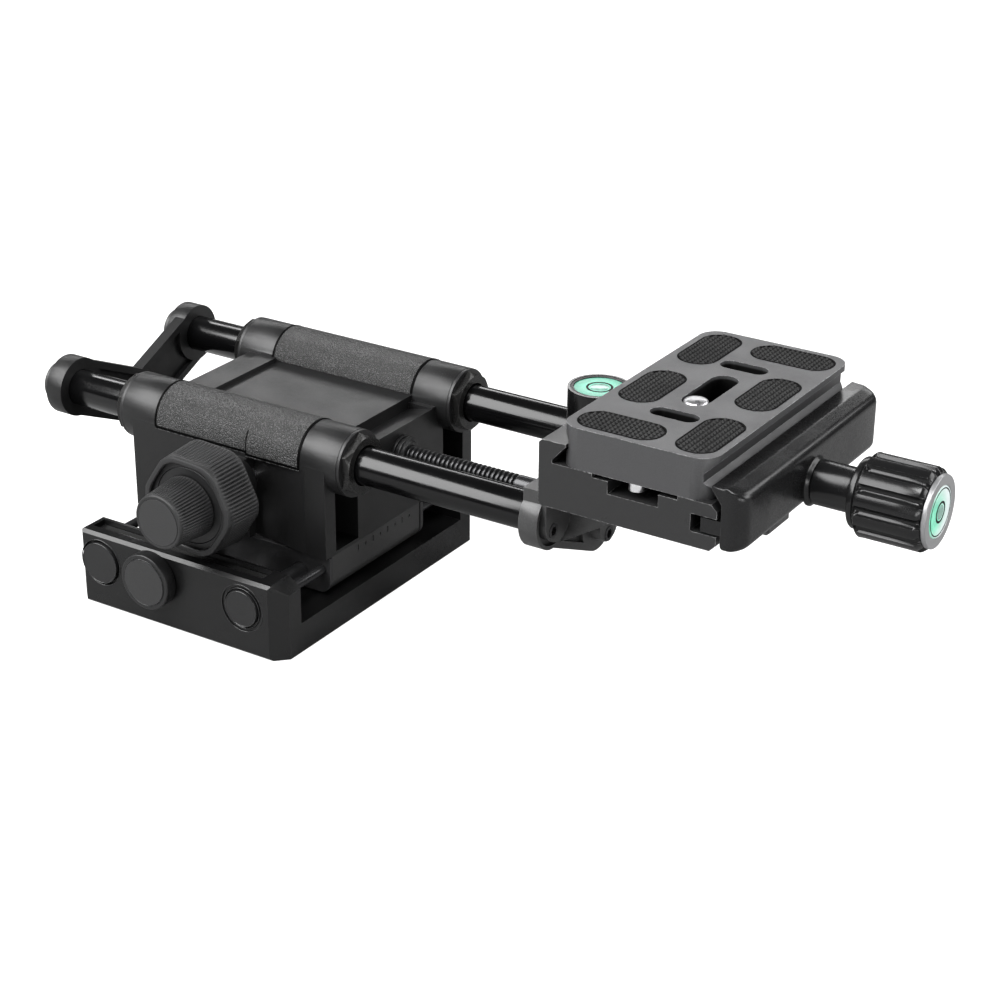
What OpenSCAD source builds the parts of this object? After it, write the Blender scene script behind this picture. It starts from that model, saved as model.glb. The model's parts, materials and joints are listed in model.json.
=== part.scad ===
// Macro focusing rail: a two-rod slider on a cross-slide base with a dovetail clamp.
// Millimetres. X runs along the rods, the clamp is at +X. Y runs along the cross slide.
// Z is up. The origin is the centre of the underside of the base.

/* [Base] */
// Length of the base along the rods
base_length = 65.4; // [40:0.1:120]
// Width of the base across the rods
base_width = 86.4; // [60:0.1:140]
// Height of the two upright walls
wall_height = 20.1; // [12:0.1:40]
// Thickness of each upright wall
wall_thickness = 8.3; // [5:0.1:15]
// Thickness of the base floor
floor_thickness = 7.8; // [4:0.1:14]
// Chamfer on the four upright corners
corner_chamfer = 3.7; // [1:0.1:7]
// Length of the bevel at each end of a wall top
bevel_length = 3.3; // [0.5:0.1:6]
// Drop of the bevel at each end of a wall top
bevel_drop = 2.9; // [0.5:0.1:6]
// Chamfer along the outer top edge of each wall
top_chamfer = 0.8; // [0.2:0.1:2]
// Chamfer along the outer bottom edges of the base
foot_chamfer = 0.7; // [0.2:0.1:2]
// Length of the long pocket in each wall top
pocket_length = 53.6; // [20:0.1:60]
// Shift of the long pocket along the rods
pocket_shift = -1.5; // [-3:0.1:3]
// Width of the long pocket
pocket_width = 4.2; // [2:0.1:6]
// Land between the pocket and the inner wall face
pocket_land = 0.9; // [0.5:0.1:2]
// Depth of the long pocket
pocket_depth = 3.0; // [1:0.1:5]
// Thickness of the strip laid in the pocket
strip_thickness = 1.7; // [0.5:0.1:3]
// Side gap around the strip
strip_gap = 0.1; // [0.05:0.01:0.3]

/* [Tripod threads] */
// Radius of the centre thread, three eighths inch
centre_thread_radius = 4.76; // [4:0.01:6]
// Outer radius of the centre bush
centre_bush_radius = 7.4; // [6:0.1:10]
// Radius of the side threads, one quarter inch
side_thread_radius = 3.175; // [3:0.005:4]
// Outer radius of the side bushes
side_bush_radius = 4.9; // [4:0.1:7]
// Distance from the centre to each side thread
side_thread_offset = 24.0; // [15:0.1:34]
// Flange height of a bush above its bore
bush_flange = 1.6; // [0.8:0.1:3]
// Flange overhang of a bush
bush_lip = 1.1; // [0.5:0.1:2]

/* [Cross slide] */
// Position of the left cross rod along the rods
left_rod_x = -23.5; // [-26:0.1:-15]
// Position of the right cross rod along the rods
right_rod_x = 21.2; // [15:0.1:26]
// Height of the cross rods
cross_rod_z = 12.3; // [10:0.1:16]
// Radius of the cross rods
cross_rod_radius = 2.5; // [1.5:0.05:4]
// Outer radius of the cross bushes
cross_bush_radius = 3.5; // [2.5:0.05:5]
// Length of a cross bush
cross_bush_length = 10.0; // [5:0.1:15]
// Position of the cross screw along the rods
cross_screw_x = -6.5; // [-12:0.1:10]
// Height of the cross screw
cross_screw_z = 12.9; // [10:0.1:16]
// Radius of the cross screw
cross_screw_radius = 2.45; // [1.5:0.05:4]
// Outer radius of the cross nut
cross_nut_radius = 4.2; // [3:0.05:5]
// Length of the cross nut
cross_nut_length = 16.0; // [8:0.1:24]
// Distance of each slim guide pin from the middle
pin_offset_x = 27.9; // [25:0.1:29]
// Height of the slim guide pins
pin_z = 14.8; // [12:0.1:17]
// Radius of the slim guide pins
pin_radius = 1.2; // [0.8:0.05:2]
// Depth of a slim pin in each wall
pin_seat = 3.0; // [1:0.1:6]

/* [Wall caps] */
// Radius of the round recess around a rod end
cap_recess_radius = 6.25; // [4:0.05:8]
// Depth of that recess
cap_recess_depth = 2.2; // [1:0.1:4]
// Radius of the left cap disc
left_disc_radius = 5.45; // [3:0.05:7]
// Radius of the right cap disc
right_disc_radius = 4.73; // [3:0.05:7]
// Height of the cap discs above the wall
disc_proud = 0.6; // [0.1:0.1:2]
// Width of the ring around the right disc
cap_ring_width = 0.7; // [0.3:0.05:2]
// Set-back of the outer cap ring below the wall face
cap_set_back = 0.5; // [0.1:0.1:1.5]
// Radius of the cross knob
cross_knob_radius = 7.3; // [5:0.1:9]
// Height of the cross knob above the wall
cross_knob_height = 3.5; // [1:0.1:8]
// Radius of the disc in the cross knob
cross_disc_radius = 6.0; // [4:0.1:8]
// Depth of the disc in the cross knob
cross_disc_depth = 0.9; // [0.4:0.1:2]
// Height of that disc above the knob rim
cross_disc_proud = 0.2; // [0:0.05:1]
// Radius of the snap ring on the cross screw
snap_radius = 4.2; // [3:0.1:6]
// Thickness of the snap ring
snap_thickness = 0.8; // [0.4:0.1:2]

/* [Slide block] */
// Length of the slide block along the rods
block_length = 60.3; // [40:0.1:64]
// Front face of the block from the base centre
block_front = 18.7; // [12:0.1:25]
// Rear face of the block from the base centre
block_rear = 19.5; // [12:0.1:25]
// Height of the block underside
block_bottom = 8.2; // [6:0.1:12]
// Height of the block top
block_top = 18.3; // [14:0.1:24]
// Rounding of the two lower block edges
block_round = 3.5; // [1:0.1:5]
// Thickness of each wiper plate
wiper_thickness = 1.2; // [0.5:0.1:3]
// Overhang of the wiper plates at each side
wiper_proud = 0.3; // [0:0.05:1]
// Set-back of the wiper plates at top and bottom
wiper_inset = 0.2; // [0:0.05:1]
// Position of the left pair of block screws
left_bolt_x = -15.0; // [-17:0.1:-11]
// Position of the right pair of block screws
right_bolt_x = 12.4; // [8:0.1:16]
// Position of the front pair of block screws
front_bolt_y = 0.5; // [-3:0.1:6]
// Position of the rear pair of block screws
rear_bolt_y = 16.5; // [10:0.1:18]
// Radius of a block screw
bolt_radius = 1.5; // [1:0.05:2.5]
// Radius of a block screw head
bolt_head_radius = 2.75; // [1.5:0.05:4]
// Height of a block screw head
bolt_head_height = 2.2; // [1:0.1:4]
// Reach of a block screw into the housing
bolt_reach = 6.0; // [3:0.1:10]
// Radius of the housing posts around the screws
post_radius = 3.2; // [2.5:0.1:4]

/* [Housing] */
// Length of the housing between its end faces
housing_length = 60.3; // [50:0.1:80]
// Width of the housing across the tubes
housing_width = 65.0; // [50:0.1:90]
// Set-off of the housing toward the rear
housing_offset = 11.5; // [0:0.1:16]
// Height of the underside at the front
front_foot_z = 18.3; // [16:0.1:24]
// Height of the underside at the rear
rear_foot_z = 20.9; // [20.5:0.1:26]
// Where the raised rear underside begins
rear_step_y = 21.0; // [20.8:0.1:24]
// Distance between the two rod centres
rod_spacing = 47.9; // [30:0.1:70]
// Height of the rod centres
rod_z = 42.2; // [35:0.1:55]
// Length of each tube
tube_length = 67.0; // [60:0.1:90]
// Outer radius of each tube
tube_radius = 8.54; // [7:0.01:12]
// Bore radius of each tube
tube_bore = 6.2; // [5:0.05:8]
// Inner edge of each slot from the housing centre
slot_inner = 19.0; // [14:0.1:24]
// Outer edge of each slot from the housing centre
slot_outer = 28.3; // [24:0.1:31]
// Height of the front slot floor
slot_floor = 19.1; // [18.7:0.1:24]
// Thickness of the rear slot floor
rear_floor = 2.2; // [1:0.1:4]
// Height of the deck between the tubes
deck_z = 44.0; // [42:0.1:48]
// Length of the end ledge beyond the deck
ledge_length = 7.4; // [3:0.1:12]
// Height of the end face top
ledge_z = 42.5; // [40:0.1:44]
// Depth of the end ledge below the end face top
ledge_dip = 1.8; // [0.2:0.1:3]
// Half width of the end ledge
ledge_half = 14.0; // [8:0.1:18]
// Width of the raised bar at the left end of the deck
bar_width = 9.6; // [4:0.1:14]
// Height of the raised bar above the deck
bar_height = 1.2; // [0.3:0.1:3]
// Width of the step on the raised bar
bar_step = 4.2; // [1:0.1:8]
// Half length of the gear cavity
cavity_half_length = 22.5; // [15:0.1:26]
// Half width of the gear cavity
cavity_half_width = 15.0; // [8:0.1:17]
// Height of the gear cavity roof
cavity_top = 38.6; // [36:0.1:41]
// Start of the scooped front face
scoop_start = 6.4; // [0:0.1:12]
// End of the scooped front face
scoop_end = 24.0; // [16:0.1:28]
// Depth of the scooped front face
scoop_depth = 2.6; // [0.5:0.1:4]
// Top of the scooped front face
scoop_top = 40.9; // [36:0.1:42]
// Spacing of the long ticks on the right end face
tick_spacing = 6.4; // [3:0.1:10]
// Height of the row of ticks
tick_z = 16.4; // [12:0.1:17]
// Size of a long tick
tick_size = 1.6; // [0.5:0.1:3]
// Depth of a tick
tick_depth = 0.25; // [0.1:0.05:0.6]

/* [Grip covers] */
// Outer radius of the grip covers
cover_radius = 8.64; // [7:0.01:12]
// Inner radius of the grip covers
cover_inner = 7.75; // [6.6:0.01:10]
// Half length of the grip covers
cover_half = 22.4; // [15:0.1:28]
// Lower edge of the covers left of the seam
cover_edge_left = 41.7; // [40:0.1:44]
// Lower edge of the covers right of the seam
cover_edge_right = 40.9; // [40:0.1:44]
// Position of the seam
seam_x = 6.1; // [0:0.1:12]
// Width of the seam
seam_width = 0.3; // [0.1:0.05:0.8]
// Height where the seam ends
seam_top = 47.0; // [43:0.1:50]

/* [Sleeves and collars] */
// Radius of the two rods
rod_radius = 4.75; // [3:0.05:8]
// Length of a sleeve bush
sleeve_length = 20.0; // [8:0.1:30]
// Thickness of a collar ring
ring_thickness = 0.9; // [0.4:0.1:2]
// Outer radius of a collar ring
ring_radius = 8.5; // [7:0.05:11]
// Thickness of a collar nut
nut_thickness = 2.1; // [1:0.1:5]
// Corner radius of a collar nut
nut_corner = 8.2; // [7:0.05:11]
// Chamfer radius at the outer face of a nut
nut_face = 7.1; // [6:0.05:10]
// Clearance around the rod inside a collar
collar_clearance = 0.4; // [0.1:0.05:1]
// Radius of the rack gland flange
gland_radius = 4.6; // [3.5:0.1:6]
// Radius of the grooves in the gland
gland_groove = 3.9; // [3:0.1:5]
// Radius of the gland shank
gland_shank = 3.4; // [2.9:0.1:4]
// Length of one gland ring
gland_ring = 0.75; // [0.3:0.05:2]
// Length of the gland shank in the wall
gland_seat = 4.5; // [2:0.1:7]

/* [Focus drive] */
// Position of the focus knob along the rods
drive_x = 4.6; // [0:0.1:8]
// Height of the focus knob
drive_z = 34.5; // [30:0.1:38]
// Radius of the round boss behind the knob
boss_radius = 5.6; // [6:0.1:12]
// Length of the round boss
boss_length = 9.9; // [4:0.1:12]
// Radius of the drive shaft
shaft_radius = 2.6; // [2:0.05:4]
// Radius of the bore through the drive shaft
shaft_bore = 1.6; // [1:0.05:2.5]
// Pitch radius of the drive gear
gear_small = 3.2; // [2.8:0.05:5]
// Pitch radius of the layshaft gear
gear_large = 6.4; // [5:0.05:9]
// Front face of the gear pair
gear_front = -3.0; // [-3.4:0.1:0]
// Width of the gear pair
gear_width = 4.2; // [2:0.1:6]
// Radius of the layshaft
lay_radius = 1.5; // [1:0.05:2.5]
// Depth of each layshaft seat
lay_seat = 3.0; // [1:0.1:3.6]
// Width of the rack pinion
pinion_width = 6.0; // [3:0.1:10]
// Thickness of the washer behind the knob
washer_thickness = 0.25; // [0.1:0.05:1]
// Radius of the washer behind the knob
washer_radius = 5.2; // [4:0.1:9]
// Length of the focus knob
grip_length = 11.2; // [6:0.1:20]
// Corner radius of the focus knob at the rear
grip_rear = 14.6; // [10:0.1:20]
// Corner radius of the focus knob at the front
grip_front = 14.0; // [10:0.1:20]
// Rounded corner radius of the knob at the rear
grip_round_rear = 13.6; // [10:0.1:20]
// Rounded corner radius of the knob at the front
grip_round_front = 12.9; // [10:0.1:20]
// Turn of the six-sided grip about its axis, in degrees
grip_turn = 4; // [-30:1:30]
// Radius of the knob hub
hub_radius = 9.9; // [7:0.1:14]
// Depth of the recessed knob face
face_recess = 1.2; // [0.3:0.1:3]
// Corner radius of the recessed knob face
face_corner = 12.3; // [8:0.1:16]

/* [Lock knob] */
// Radius of the lock spindle
lock_spindle_radius = 1.5; // [0.8:0.05:2.4]
// Length of the lock knob
lock_length = 11.4; // [5:0.1:20]
// Radius of the lock knob at the rear
lock_rear = 8.7; // [5:0.05:12]
// Radius of the lock knob at the front
lock_front = 6.7; // [4:0.05:12]
// Gap between the lock knob and the hub
lock_gap = 0.2; // [0.1:0.05:1]
// Radius of the disc in the lock knob face
lock_disc_radius = 5.9; // [3:0.05:8]
// Depth of that disc
lock_disc_depth = 0.6; // [0.2:0.1:2]

/* [Rack] */
// Radius of the round rack
rack_radius = 2.5; // [1.5:0.05:4]
// Height of the rack centre
rack_z = 35.3; // [33:0.1:38]
// Pitch of the rack teeth
rack_pitch = 2.0; // [1:0.1:4]
// Depth of the rack teeth
tooth_depth = 0.9; // [0.3:0.05:1.5]
// First tooth from the left bracket
teeth_start = 6.0; // [2:0.1:20]
// Plain length before the right bracket
teeth_end = 18.0; // [5:0.1:30]
// Seat depth of the rack in each bracket
rack_seat = 2.5; // [1:0.1:4]

/* [Rail brackets] */
// Inner face of the left bracket from the carriage centre
left_face = 55.0; // [45:0.1:90]
// Inner face of the right bracket from the carriage centre
right_face = 84.8; // [60:0.1:120]
// Thickness of both brackets
bracket_thickness = 5.0; // [3:0.1:9]
// Radius of a bracket eye
eye_radius = 7.8; // [6:0.1:11]
// Drop of the bracket middle below the rods
bracket_drop = 11.0; // [4:0.1:18]
// Rim width of the recessed web
web_rim = 1.9; // [1:0.1:4]
// Depth of the recessed web
web_depth = 1.2; // [0.3:0.1:2]
// Thickness of the bracket arms
arm_thickness = 3.2; // [2:0.1:6]
// Half height of the bracket arms
arm_half = 7.4; // [5:0.1:10]
// Closed end over the right rod ends
eye_floor = 2.6; // [0.8:0.1:4]
// Radius of a rod plug
plug_radius = 5.2; // [3:0.1:7]
// Length of a rod plug
plug_length = 3.0; // [1:0.1:6]
// Socket corner radius of a rod plug
plug_socket = 2.6; // [1:0.1:4]
// Socket depth of a rod plug
plug_socket_depth = 1.6; // [0.5:0.1:2.5]
// Face of the three lugs from the inner bracket face
lug_length = 6.2; // [4:0.1:10]
// Radius of the outer lugs
lug_radius = 5.6; // [4:0.1:8]
// Radius of a bracket screw
stud_radius = 1.9; // [0.8:0.05:3]
// Depth of a bracket screw
stud_depth = 1.6; // [0.8:0.1:3]
// Height of a bracket screw above its lug
stud_proud_end = 0.15; // [0:0.05:1]
// Socket radius of a bracket screw
stud_socket = 1.2; // [0.6:0.1:2.5]
// Outward shift of the outer screws from the rod centres
stud_shift = 2.2; // [0:0.1:4]
// Drop of the outer screws below the rod centres
stud_drop = 2.2; // [0:0.1:6]
// Drop of the middle screw below the bracket middle
stud_middle_drop = 2.4; // [0:0.1:6]
// Half width of the beam under the clamp
beam_half = 5.0; // [3:0.1:9]
// Height of the beam
beam_height = 9.6; // [5:0.1:14]
// Chamfer of the lower beam edges
beam_chamfer = 1.4; // [0.3:0.1:3]
// Set-back of the beam end from the right clamp face
beam_back = 1.6; // [0.5:0.1:20]
// Distance of the outer webs from the middle
gusset_half = 19.0; // [12:0.1:24]
// Thickness of the outer webs
gusset_thickness = 2.4; // [1:0.1:5]
// Reach of the outer webs beyond the lugs
gusset_length = 10.0; // [4:0.1:20]
// Drop of the outer webs below the beam
gusset_drop = 7.6; // [2:0.1:10]

/* [Clamp] */
// Left face of the clamp body from the carriage centre
clamp_left = 92.4; // [91:0.1:130]
// Width of the clamp body
clamp_width = 44.8; // [38:0.1:60]
// Length of the clamp body along the cross slide
clamp_length = 71.2; // [40:0.1:110]
// Height of the clamp body underside
clamp_bottom = 50.8; // [48:0.1:60]
// Height of the clamp channel floor above the underside
channel_height = 11.0; // [8:0.1:16]
// Height of the fixed jaw above the channel floor
jaw_height = 5.2; // [3:0.1:8]
// Width of the fixed jaw root
jaw_root = 3.5; // [2:0.1:6]
// Reach of the jaw lips over the channel
lip_reach = 3.35; // [1:0.05:5]
// Thickness of the lip tip
lip_tip = 0.7; // [0.3:0.05:1.5]
// Straight height at the lip root
lip_root = 0.8; // [0.2:0.05:2]
// Chamfer on the outer clamp edges
clamp_chamfer = 1.5; // [0.3:0.1:3]
// Small break on the fixed jaw top edge
jaw_break = 0.8; // [0.2:0.1:2]
// Start of the shallow relief from the left face
relief_start = 13.8; // [8:0.1:20]
// Width of the shallow relief
relief_width = 21.3; // [10:0.1:30]
// Depth of the shallow relief
relief_depth = 0.9; // [0.3:0.1:2]
// Start of the central pocket from the left face
groove_start = 17.8; // [10:0.1:24]
// Width of the central pocket
groove_width = 12.6; // [6:0.1:18]
// Depth of the central pocket below the channel floor
groove_depth = 3.9; // [2:0.1:6]
// Depth of the tongue groove
tongue_groove = 6.3; // [3:0.1:9]
// Height of the tongue groove floor above the underside
tongue_floor = 3.6; // [2:0.1:6]
// Height of the tongue groove
tongue_height = 4.2; // [2:0.1:6]
// Running gap above and below the tongue
tongue_gap = 0.4; // [0.1:0.05:0.6]
// Radius of a clamp bolt
clamp_bolt_radius = 1.6; // [1:0.05:3]
// Radius of a clamp bolt head
clamp_bolt_head = 2.8; // [1.5:0.05:4]
// Height of a clamp bolt head
clamp_bolt_head_height = 2.4; // [1:0.1:4]
// Reach of a clamp bolt into the body
clamp_bolt_reach = 1.6; // [1:0.1:4]
// Left bolt from the left clamp face
clamp_bolt_left = 10.0; // [5:0.1:16]
// Right bolt from the left clamp face
clamp_bolt_right = 35.0; // [30:0.1:40]

/* [Moving jaw] */
// Gap between the moving jaw and the body in the photo pose
jaw_gap = 0.8; // [0.2:0.1:6]
// Thickness of the moving jaw
jaw_thickness = 5.6; // [4:0.1:12]
// Height of the moving jaw underside above the body underside
jaw_lift = 0.8; // [0:0.1:3]
// Top of the moving jaw above the channel floor
jaw_top = 4.5; // [3:0.1:8]
// Reach of the moving lip
moving_reach = 2.4; // [0.5:0.05:4]
// Width of the flat on the moving jaw top
jaw_flat = 0.5; // [0.2:0.1:8]
// Drop of the sloped outer shoulder
shoulder_drop = 3.0; // [1:0.1:6]
// Rounding of the lower outer edge
jaw_toe = 2.4; // [0.5:0.1:4]
// Rounding of the outer ends of the moving jaw
jaw_end_round = 4.0; // [1:0.1:8]
// Engagement of the tongue in the groove
tongue_reach = 4.8; // [2:0.1:8]
// Radius of a jaw guide pin
jaw_pin_radius = 1.4; // [0.8:0.05:1.4]
// Distance of each guide pin from the middle
jaw_pin_offset = 24.0; // [12:0.1:32]
// Reach of the guide pins into the body
jaw_pin_reach = 12.0; // [8:0.1:20]
// Seat of the guide pins in the jaw
jaw_pin_seat = 2.6; // [1:0.1:6]
// Radius of the round boss on the jaw
jaw_boss_radius = 5.9; // [5:0.1:10]
// Height of the round boss on the jaw
jaw_boss_height = 0.9; // [0.5:0.1:4]

/* [Clamp knob] */
// Height of the clamp knob axis
knob_z = 56.0; // [52:0.1:60]
// Radius of the clamp spindle
spindle_radius = 3.0; // [2:0.05:4]
// Reach of the spindle into the clamp body
spindle_reach = 11.5; // [5:0.1:12]
// Radius of the knob neck
neck_radius = 5.25; // [3:0.05:8]
// Length of the knob neck
neck_length = 10.2; // [3:0.1:15]
// Radius of the rear knob rim
rim_radius = 8.3; // [6:0.05:12]
// Thickness of the rear knob rim
rim_thickness = 1.6; // [0.5:0.1:4]
// Radius of the fluted knob
knob_radius = 9.8; // [7:0.05:14]
// Length of the fluted knob
knob_length = 16.2; // [8:0.1:25]
// Chamfer of the fluted knob ends
knob_chamfer = 1.1; // [0.3:0.1:3]
// Radius of a flute
flute_radius = 1.0; // [0.5:0.05:2.5]
// Radius of the end ring
end_ring_radius = 8.5; // [6:0.05:12]
// Thickness of the end ring
end_ring_thickness = 1.2; // [0.5:0.1:3]
// Radius of the round bubble vial
vial_radius = 6.1; // [4:0.05:8]
// Depth of the vial in the knob
vial_depth = 3.0; // [1:0.1:6]
// Height of the vial above its ring
vial_proud = 0.2; // [0:0.05:1]

/* [Side level] */
// Centre of the side level from the left clamp face
level_offset = 5.1; // [2:0.1:9]
// Radius of the side level cup
level_radius = 7.6; // [5:0.05:10]
// Top of the side level cup
level_top = 66.3; // [60:0.1:72]
// Underside of the side level cup
level_bottom = 52.4; // [51.5:0.1:60]
// Radius of the recess in the cup
level_bore = 6.9; // [4:0.05:9]
// Depth of the recess in the cup
level_depth = 6.0; // [2:0.1:10]
// Outer radius of the side vial
level_vial_radius = 6.1; // [3:0.05:8]
// Set-back of the side vial below the cup top
level_vial_drop = 0.3; // [0:0.05:1]
// Height of the ring around the side vial
level_ring_height = 1.4; // [0.5:0.1:3]
// Set-back of that ring below the cup top
level_ring_drop = 0.1; // [0:0.05:0.5]

/* [Quick-release plate] */
// Width of the plate
plate_width = 38.0; // [30:0.1:60]
// Reach of each plate end beyond the clamp end
plate_overhang = 0; // [-3:0.1:10]
// Height of the plate
plate_height = 9.85; // [6:0.05:14]
// Left plate edge from the left clamp face
plate_left = 4.9; // [4.4:0.1:7]
// Gap between the plate and the channel floor
plate_gap = 0.05; // [0.02:0.01:0.3]
// Plan rounding of the plate corners
plate_round = 5.0; // [1:0.1:10]
// Thickness of the plate top edge
plate_edge = 1.5; // [0.5:0.1:4]
// Depth of the groove along both plate sides
plate_groove = 2.2; // [1:0.1:4]
// Height of the narrow neck
neck_height = 2.0; // [0.5:0.1:4]
// Chamfer of the plate underside
plate_chamfer = 0.5; // [0.2:0.1:1]
// Width of the long slot for the camera screw
slot_width = 6.7; // [6.5:0.1:9]
// Length of the long slot for the camera screw
slot_length = 20.4; // [12:0.1:40]
// Centre of the long slot from the plate centre
slot_shift = 0; // [-3:0.1:3]
// Width of the two short slots
short_slot_width = 4.9; // [2:0.1:6]
// Length of the two short slots
short_slot_length = 12.1; // [6:0.1:20]
// Distance of the short slots from the plate centre
short_slot_offset = 17.0; // [12:0.1:24]
// Width of the recess under the long slot
recess_width = 15.0; // [12:0.1:20]
// Extra length of that recess at each end
recess_end = 4.2; // [2:0.1:8]
// Depth of the recess under the plate
recess_depth = 5.0; // [3:0.1:6.5]
// Short side of a rubber pad
pad_width = 9.6; // [5:0.1:12]
// Length of the four long-way pads
pad_long = 20.6; // [12:0.1:24]
// Length of the two corner pads lying across
pad_cross = 20.4; // [12:0.1:24]
// Rounding of the rubber pads
pad_round = 4.5; // [1:0.1:4.7]
// Margin between the pads and the plate edge
pad_margin = 2.0; // [0.8:0.1:4]
// Recess of the pads in the plate
pad_recess = 0.6; // [0.2:0.05:1]
// Height of the pads above the plate
pad_proud = 0.4; // [0.1:0.05:1]
// Distance of the outer long-way pads from the plate end
pad_end = 2.3; // [1:0.1:6]
// Middle of the inner long-way pads from the plate centre
pad_inner_y = 5.0; // [0:0.1:10]
// Radius of a stop screw
stop_radius = 2.0; // [1:0.05:3]
// Radius of a stop screw shank
stop_shank = 1.2; // [0.8:0.05:2]
// Height of a stop screw head
stop_height = 2.2; // [0.5:0.1:3]
// Distance of a stop screw from the plate end
stop_margin = 2.6; // [2:0.1:6]
// Depth of a stop screw in the plate
stop_depth = 4.0; // [2:0.1:6]

/* [Camera screw] */
// Radius of the camera thread, one quarter inch
stud_thread_radius = 3.175; // [3:0.005:4]
// Height of the stud above the plate
stud_proud = 0.4; // [0.5:0.1:6]
// Radius of the screw head
screw_head_radius = 6.4; // [4:0.1:8]
// Height of the screw head
screw_head_height = 2.6; // [1:0.1:4]
// Width of the coin slot
coin_slot = 1.4; // [0.5:0.1:3]
// Depth of the coin slot
coin_depth = 1.2; // [0.5:0.1:2]
// Thickness of the retaining washer
retainer_thickness = 0.7; // [0.3:0.05:1.5]
// Gap between the washer and the parts around it
retainer_gap = 0.08; // [0.05:0.01:0.3]

/* [Fits] */
// Clearance of parts that run on each other
running_gap = 0.05; // [0.02:0.01:0.1]
// Clearance of parts seated in each other
seat_gap = 0.02; // [0.01:0.01:0.05]
// Gap between meshing gear rims
mesh_gap = 0.15; // [0.05:0.01:0.4]
// Overlap used when one shape cuts another
cut_over = 1.0; // [0.5:0.1:2]

/* [Counts] */
// Teeth of the rack pinion
pinion_teeth = 12; // [8:1:20]
// Teeth of the small gear
small_teeth = 12; // [8:1:20]
// Flutes of the clamp knob
flute_count = 12; // [8:1:24]

/* [Hidden] */
$fn = 72;
end_x = base_length / 2;
end_y = base_width / 2;
inner_y = end_y - wall_thickness;
half_block = block_length / 2;
half_housing = housing_length / 2;
cy = housing_offset;
front_y = cy - housing_width / 2;
rear_y = cy + housing_width / 2;
half_rods = rod_spacing / 2;
half_tube = tube_length / 2;
pinion_radius = pinion_teeth * rack_pitch / 2 / PI;
rack_pitch_z = rack_z - rack_radius + tooth_depth / 2;
lay_z = rack_pitch_z - pinion_radius;
lay_drop = drive_z - lay_z;
gear_distance = gear_small + gear_large;
lay_x = drive_x - sqrt(gear_distance * gear_distance - lay_drop * lay_drop);
boss_y = front_y - boss_length;
hub_rear = boss_y - running_gap - washer_thickness;
grip_y = hub_rear - grip_length;
hub_front = grip_y + face_recess;
lock_y = hub_front - lock_gap;
lock_face = lock_y - lock_length;
clamp_right = clamp_left + clamp_width;
channel_z = clamp_bottom + channel_height;
clamp_front = cy - clamp_length / 2;
clamp_rear = cy + clamp_length / 2;
plate_length = clamp_length + 2 * plate_overhang;
pad_outer_y = plate_length / 2 - pad_end - pad_long / 2;
plate_x = clamp_left + plate_left;
plate_mid = plate_x + plate_width / 2;
plate_z = channel_z + plate_gap;
plate_top = plate_z + plate_height;
plate_front = cy - plate_length / 2;
plate_rear = cy + plate_length / 2;
jaw_x = clamp_right + jaw_gap;
jaw_out = jaw_x + jaw_thickness;
neck_x = jaw_out + jaw_boss_height + running_gap;
rim_x = neck_x + neck_length;
flute_x = rim_x + rim_thickness;
ring_x = flute_x + knob_length;
level_x = clamp_left - level_offset;
screw_y = cy + slot_shift - slot_length / 2 + slot_width / 2;
recess_top = plate_z + recess_depth;
teeth_low = -left_face + teeth_start;
teeth_high = right_face - teeth_end;
teeth_count = floor((teeth_high - teeth_low) / rack_pitch);
middle_z = rod_z - bracket_drop;
lug_x = right_face + lug_length;
rod_end = lug_x - eye_floor;
beam_end = clamp_right - beam_back;
arm_angle = atan(bracket_drop / half_rods);
arm_length = sqrt(bracket_drop * bracket_drop + half_rods * half_rods);

// Block between two corners
module box(x0, x1, y0, y1, z0, z1) {
  translate([x0, y0, z0])
    cube([x1 - x0, y1 - y0, z1 - z0]);
}

// Round bar along the rods
module round_x(x0, x1, y, z, r) {
  translate([x0, y, z])
    rotate([0, 90, 0])
      cylinder(h = x1 - x0, r = r);
}

// Cone along the rods
module cone_x(x0, x1, y, z, r0, r1) {
  translate([x0, y, z])
    rotate([0, 90, 0])
      cylinder(h = x1 - x0, r1 = r0, r2 = r1);
}

// Round bar along the cross slide
module round_y(x, z, y0, y1, r) {
  translate([x, y1, z])
    rotate([90, 0, 0])
      cylinder(h = y1 - y0, r = r);
}

// Cone along the cross slide, first radius at the front
module cone_y(x, z, y0, y1, r0, r1) {
  translate([x, y0, z])
    rotate([-90, 0, 0])
      cylinder(h = y1 - y0, r1 = r0, r2 = r1);
}

// Upright round bar
module round_z(x, y, z0, z1, r) {
  translate([x, y, z0])
    cylinder(h = z1 - z0, r = r);
}

// Side profile pushed along the cross slide
module side_profile(y0, y1) {
  translate([0, y1, 0])
    rotate([90, 0, 0])
      linear_extrude(y1 - y0)
        children();
}

// End profile pushed along the rods
module end_profile(x0, x1) {
  translate([x0, 0, 0])
    rotate([90, 0, 90])
      linear_extrude(x1 - x0)
        children();
}

// Rectangle with rounded corners between two corners
module round_plan(x0, x1, y0, y1, r) {
  translate([x0 + r, y0])
    square([x1 - x0 - 2 * r, y1 - y0]);
  translate([x0, y0 + r])
    square([x1 - x0, y1 - y0 - 2 * r]);
  for (x = [x0 + r, x1 - r], y = [y0 + r, y1 - r])
    translate([x, y])
      circle(r);
}

// Mirrored copy at the rear of the base
module both_walls() {
  children();
  mirror([0, 1, 0])
    children();
}

// Mirrored copy at the other end of the carriage
module both_ends() {
  children();
  mirror([1, 0, 0])
    children();
}

// Repeats a piece on both rod axes
module both_rods() {
  for (y = [cy - half_rods, cy + half_rods])
    translate([0, y, rod_z])
      children();
}

module base_plan() {
  c = corner_chamfer;
  polygon([[-end_x + c, -end_y], [end_x - c, -end_y], [end_x, -end_y + c], [end_x, end_y - c],
    [end_x - c, end_y], [-end_x + c, end_y], [-end_x, end_y - c], [-end_x, -end_y + c]]);
}

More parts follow.
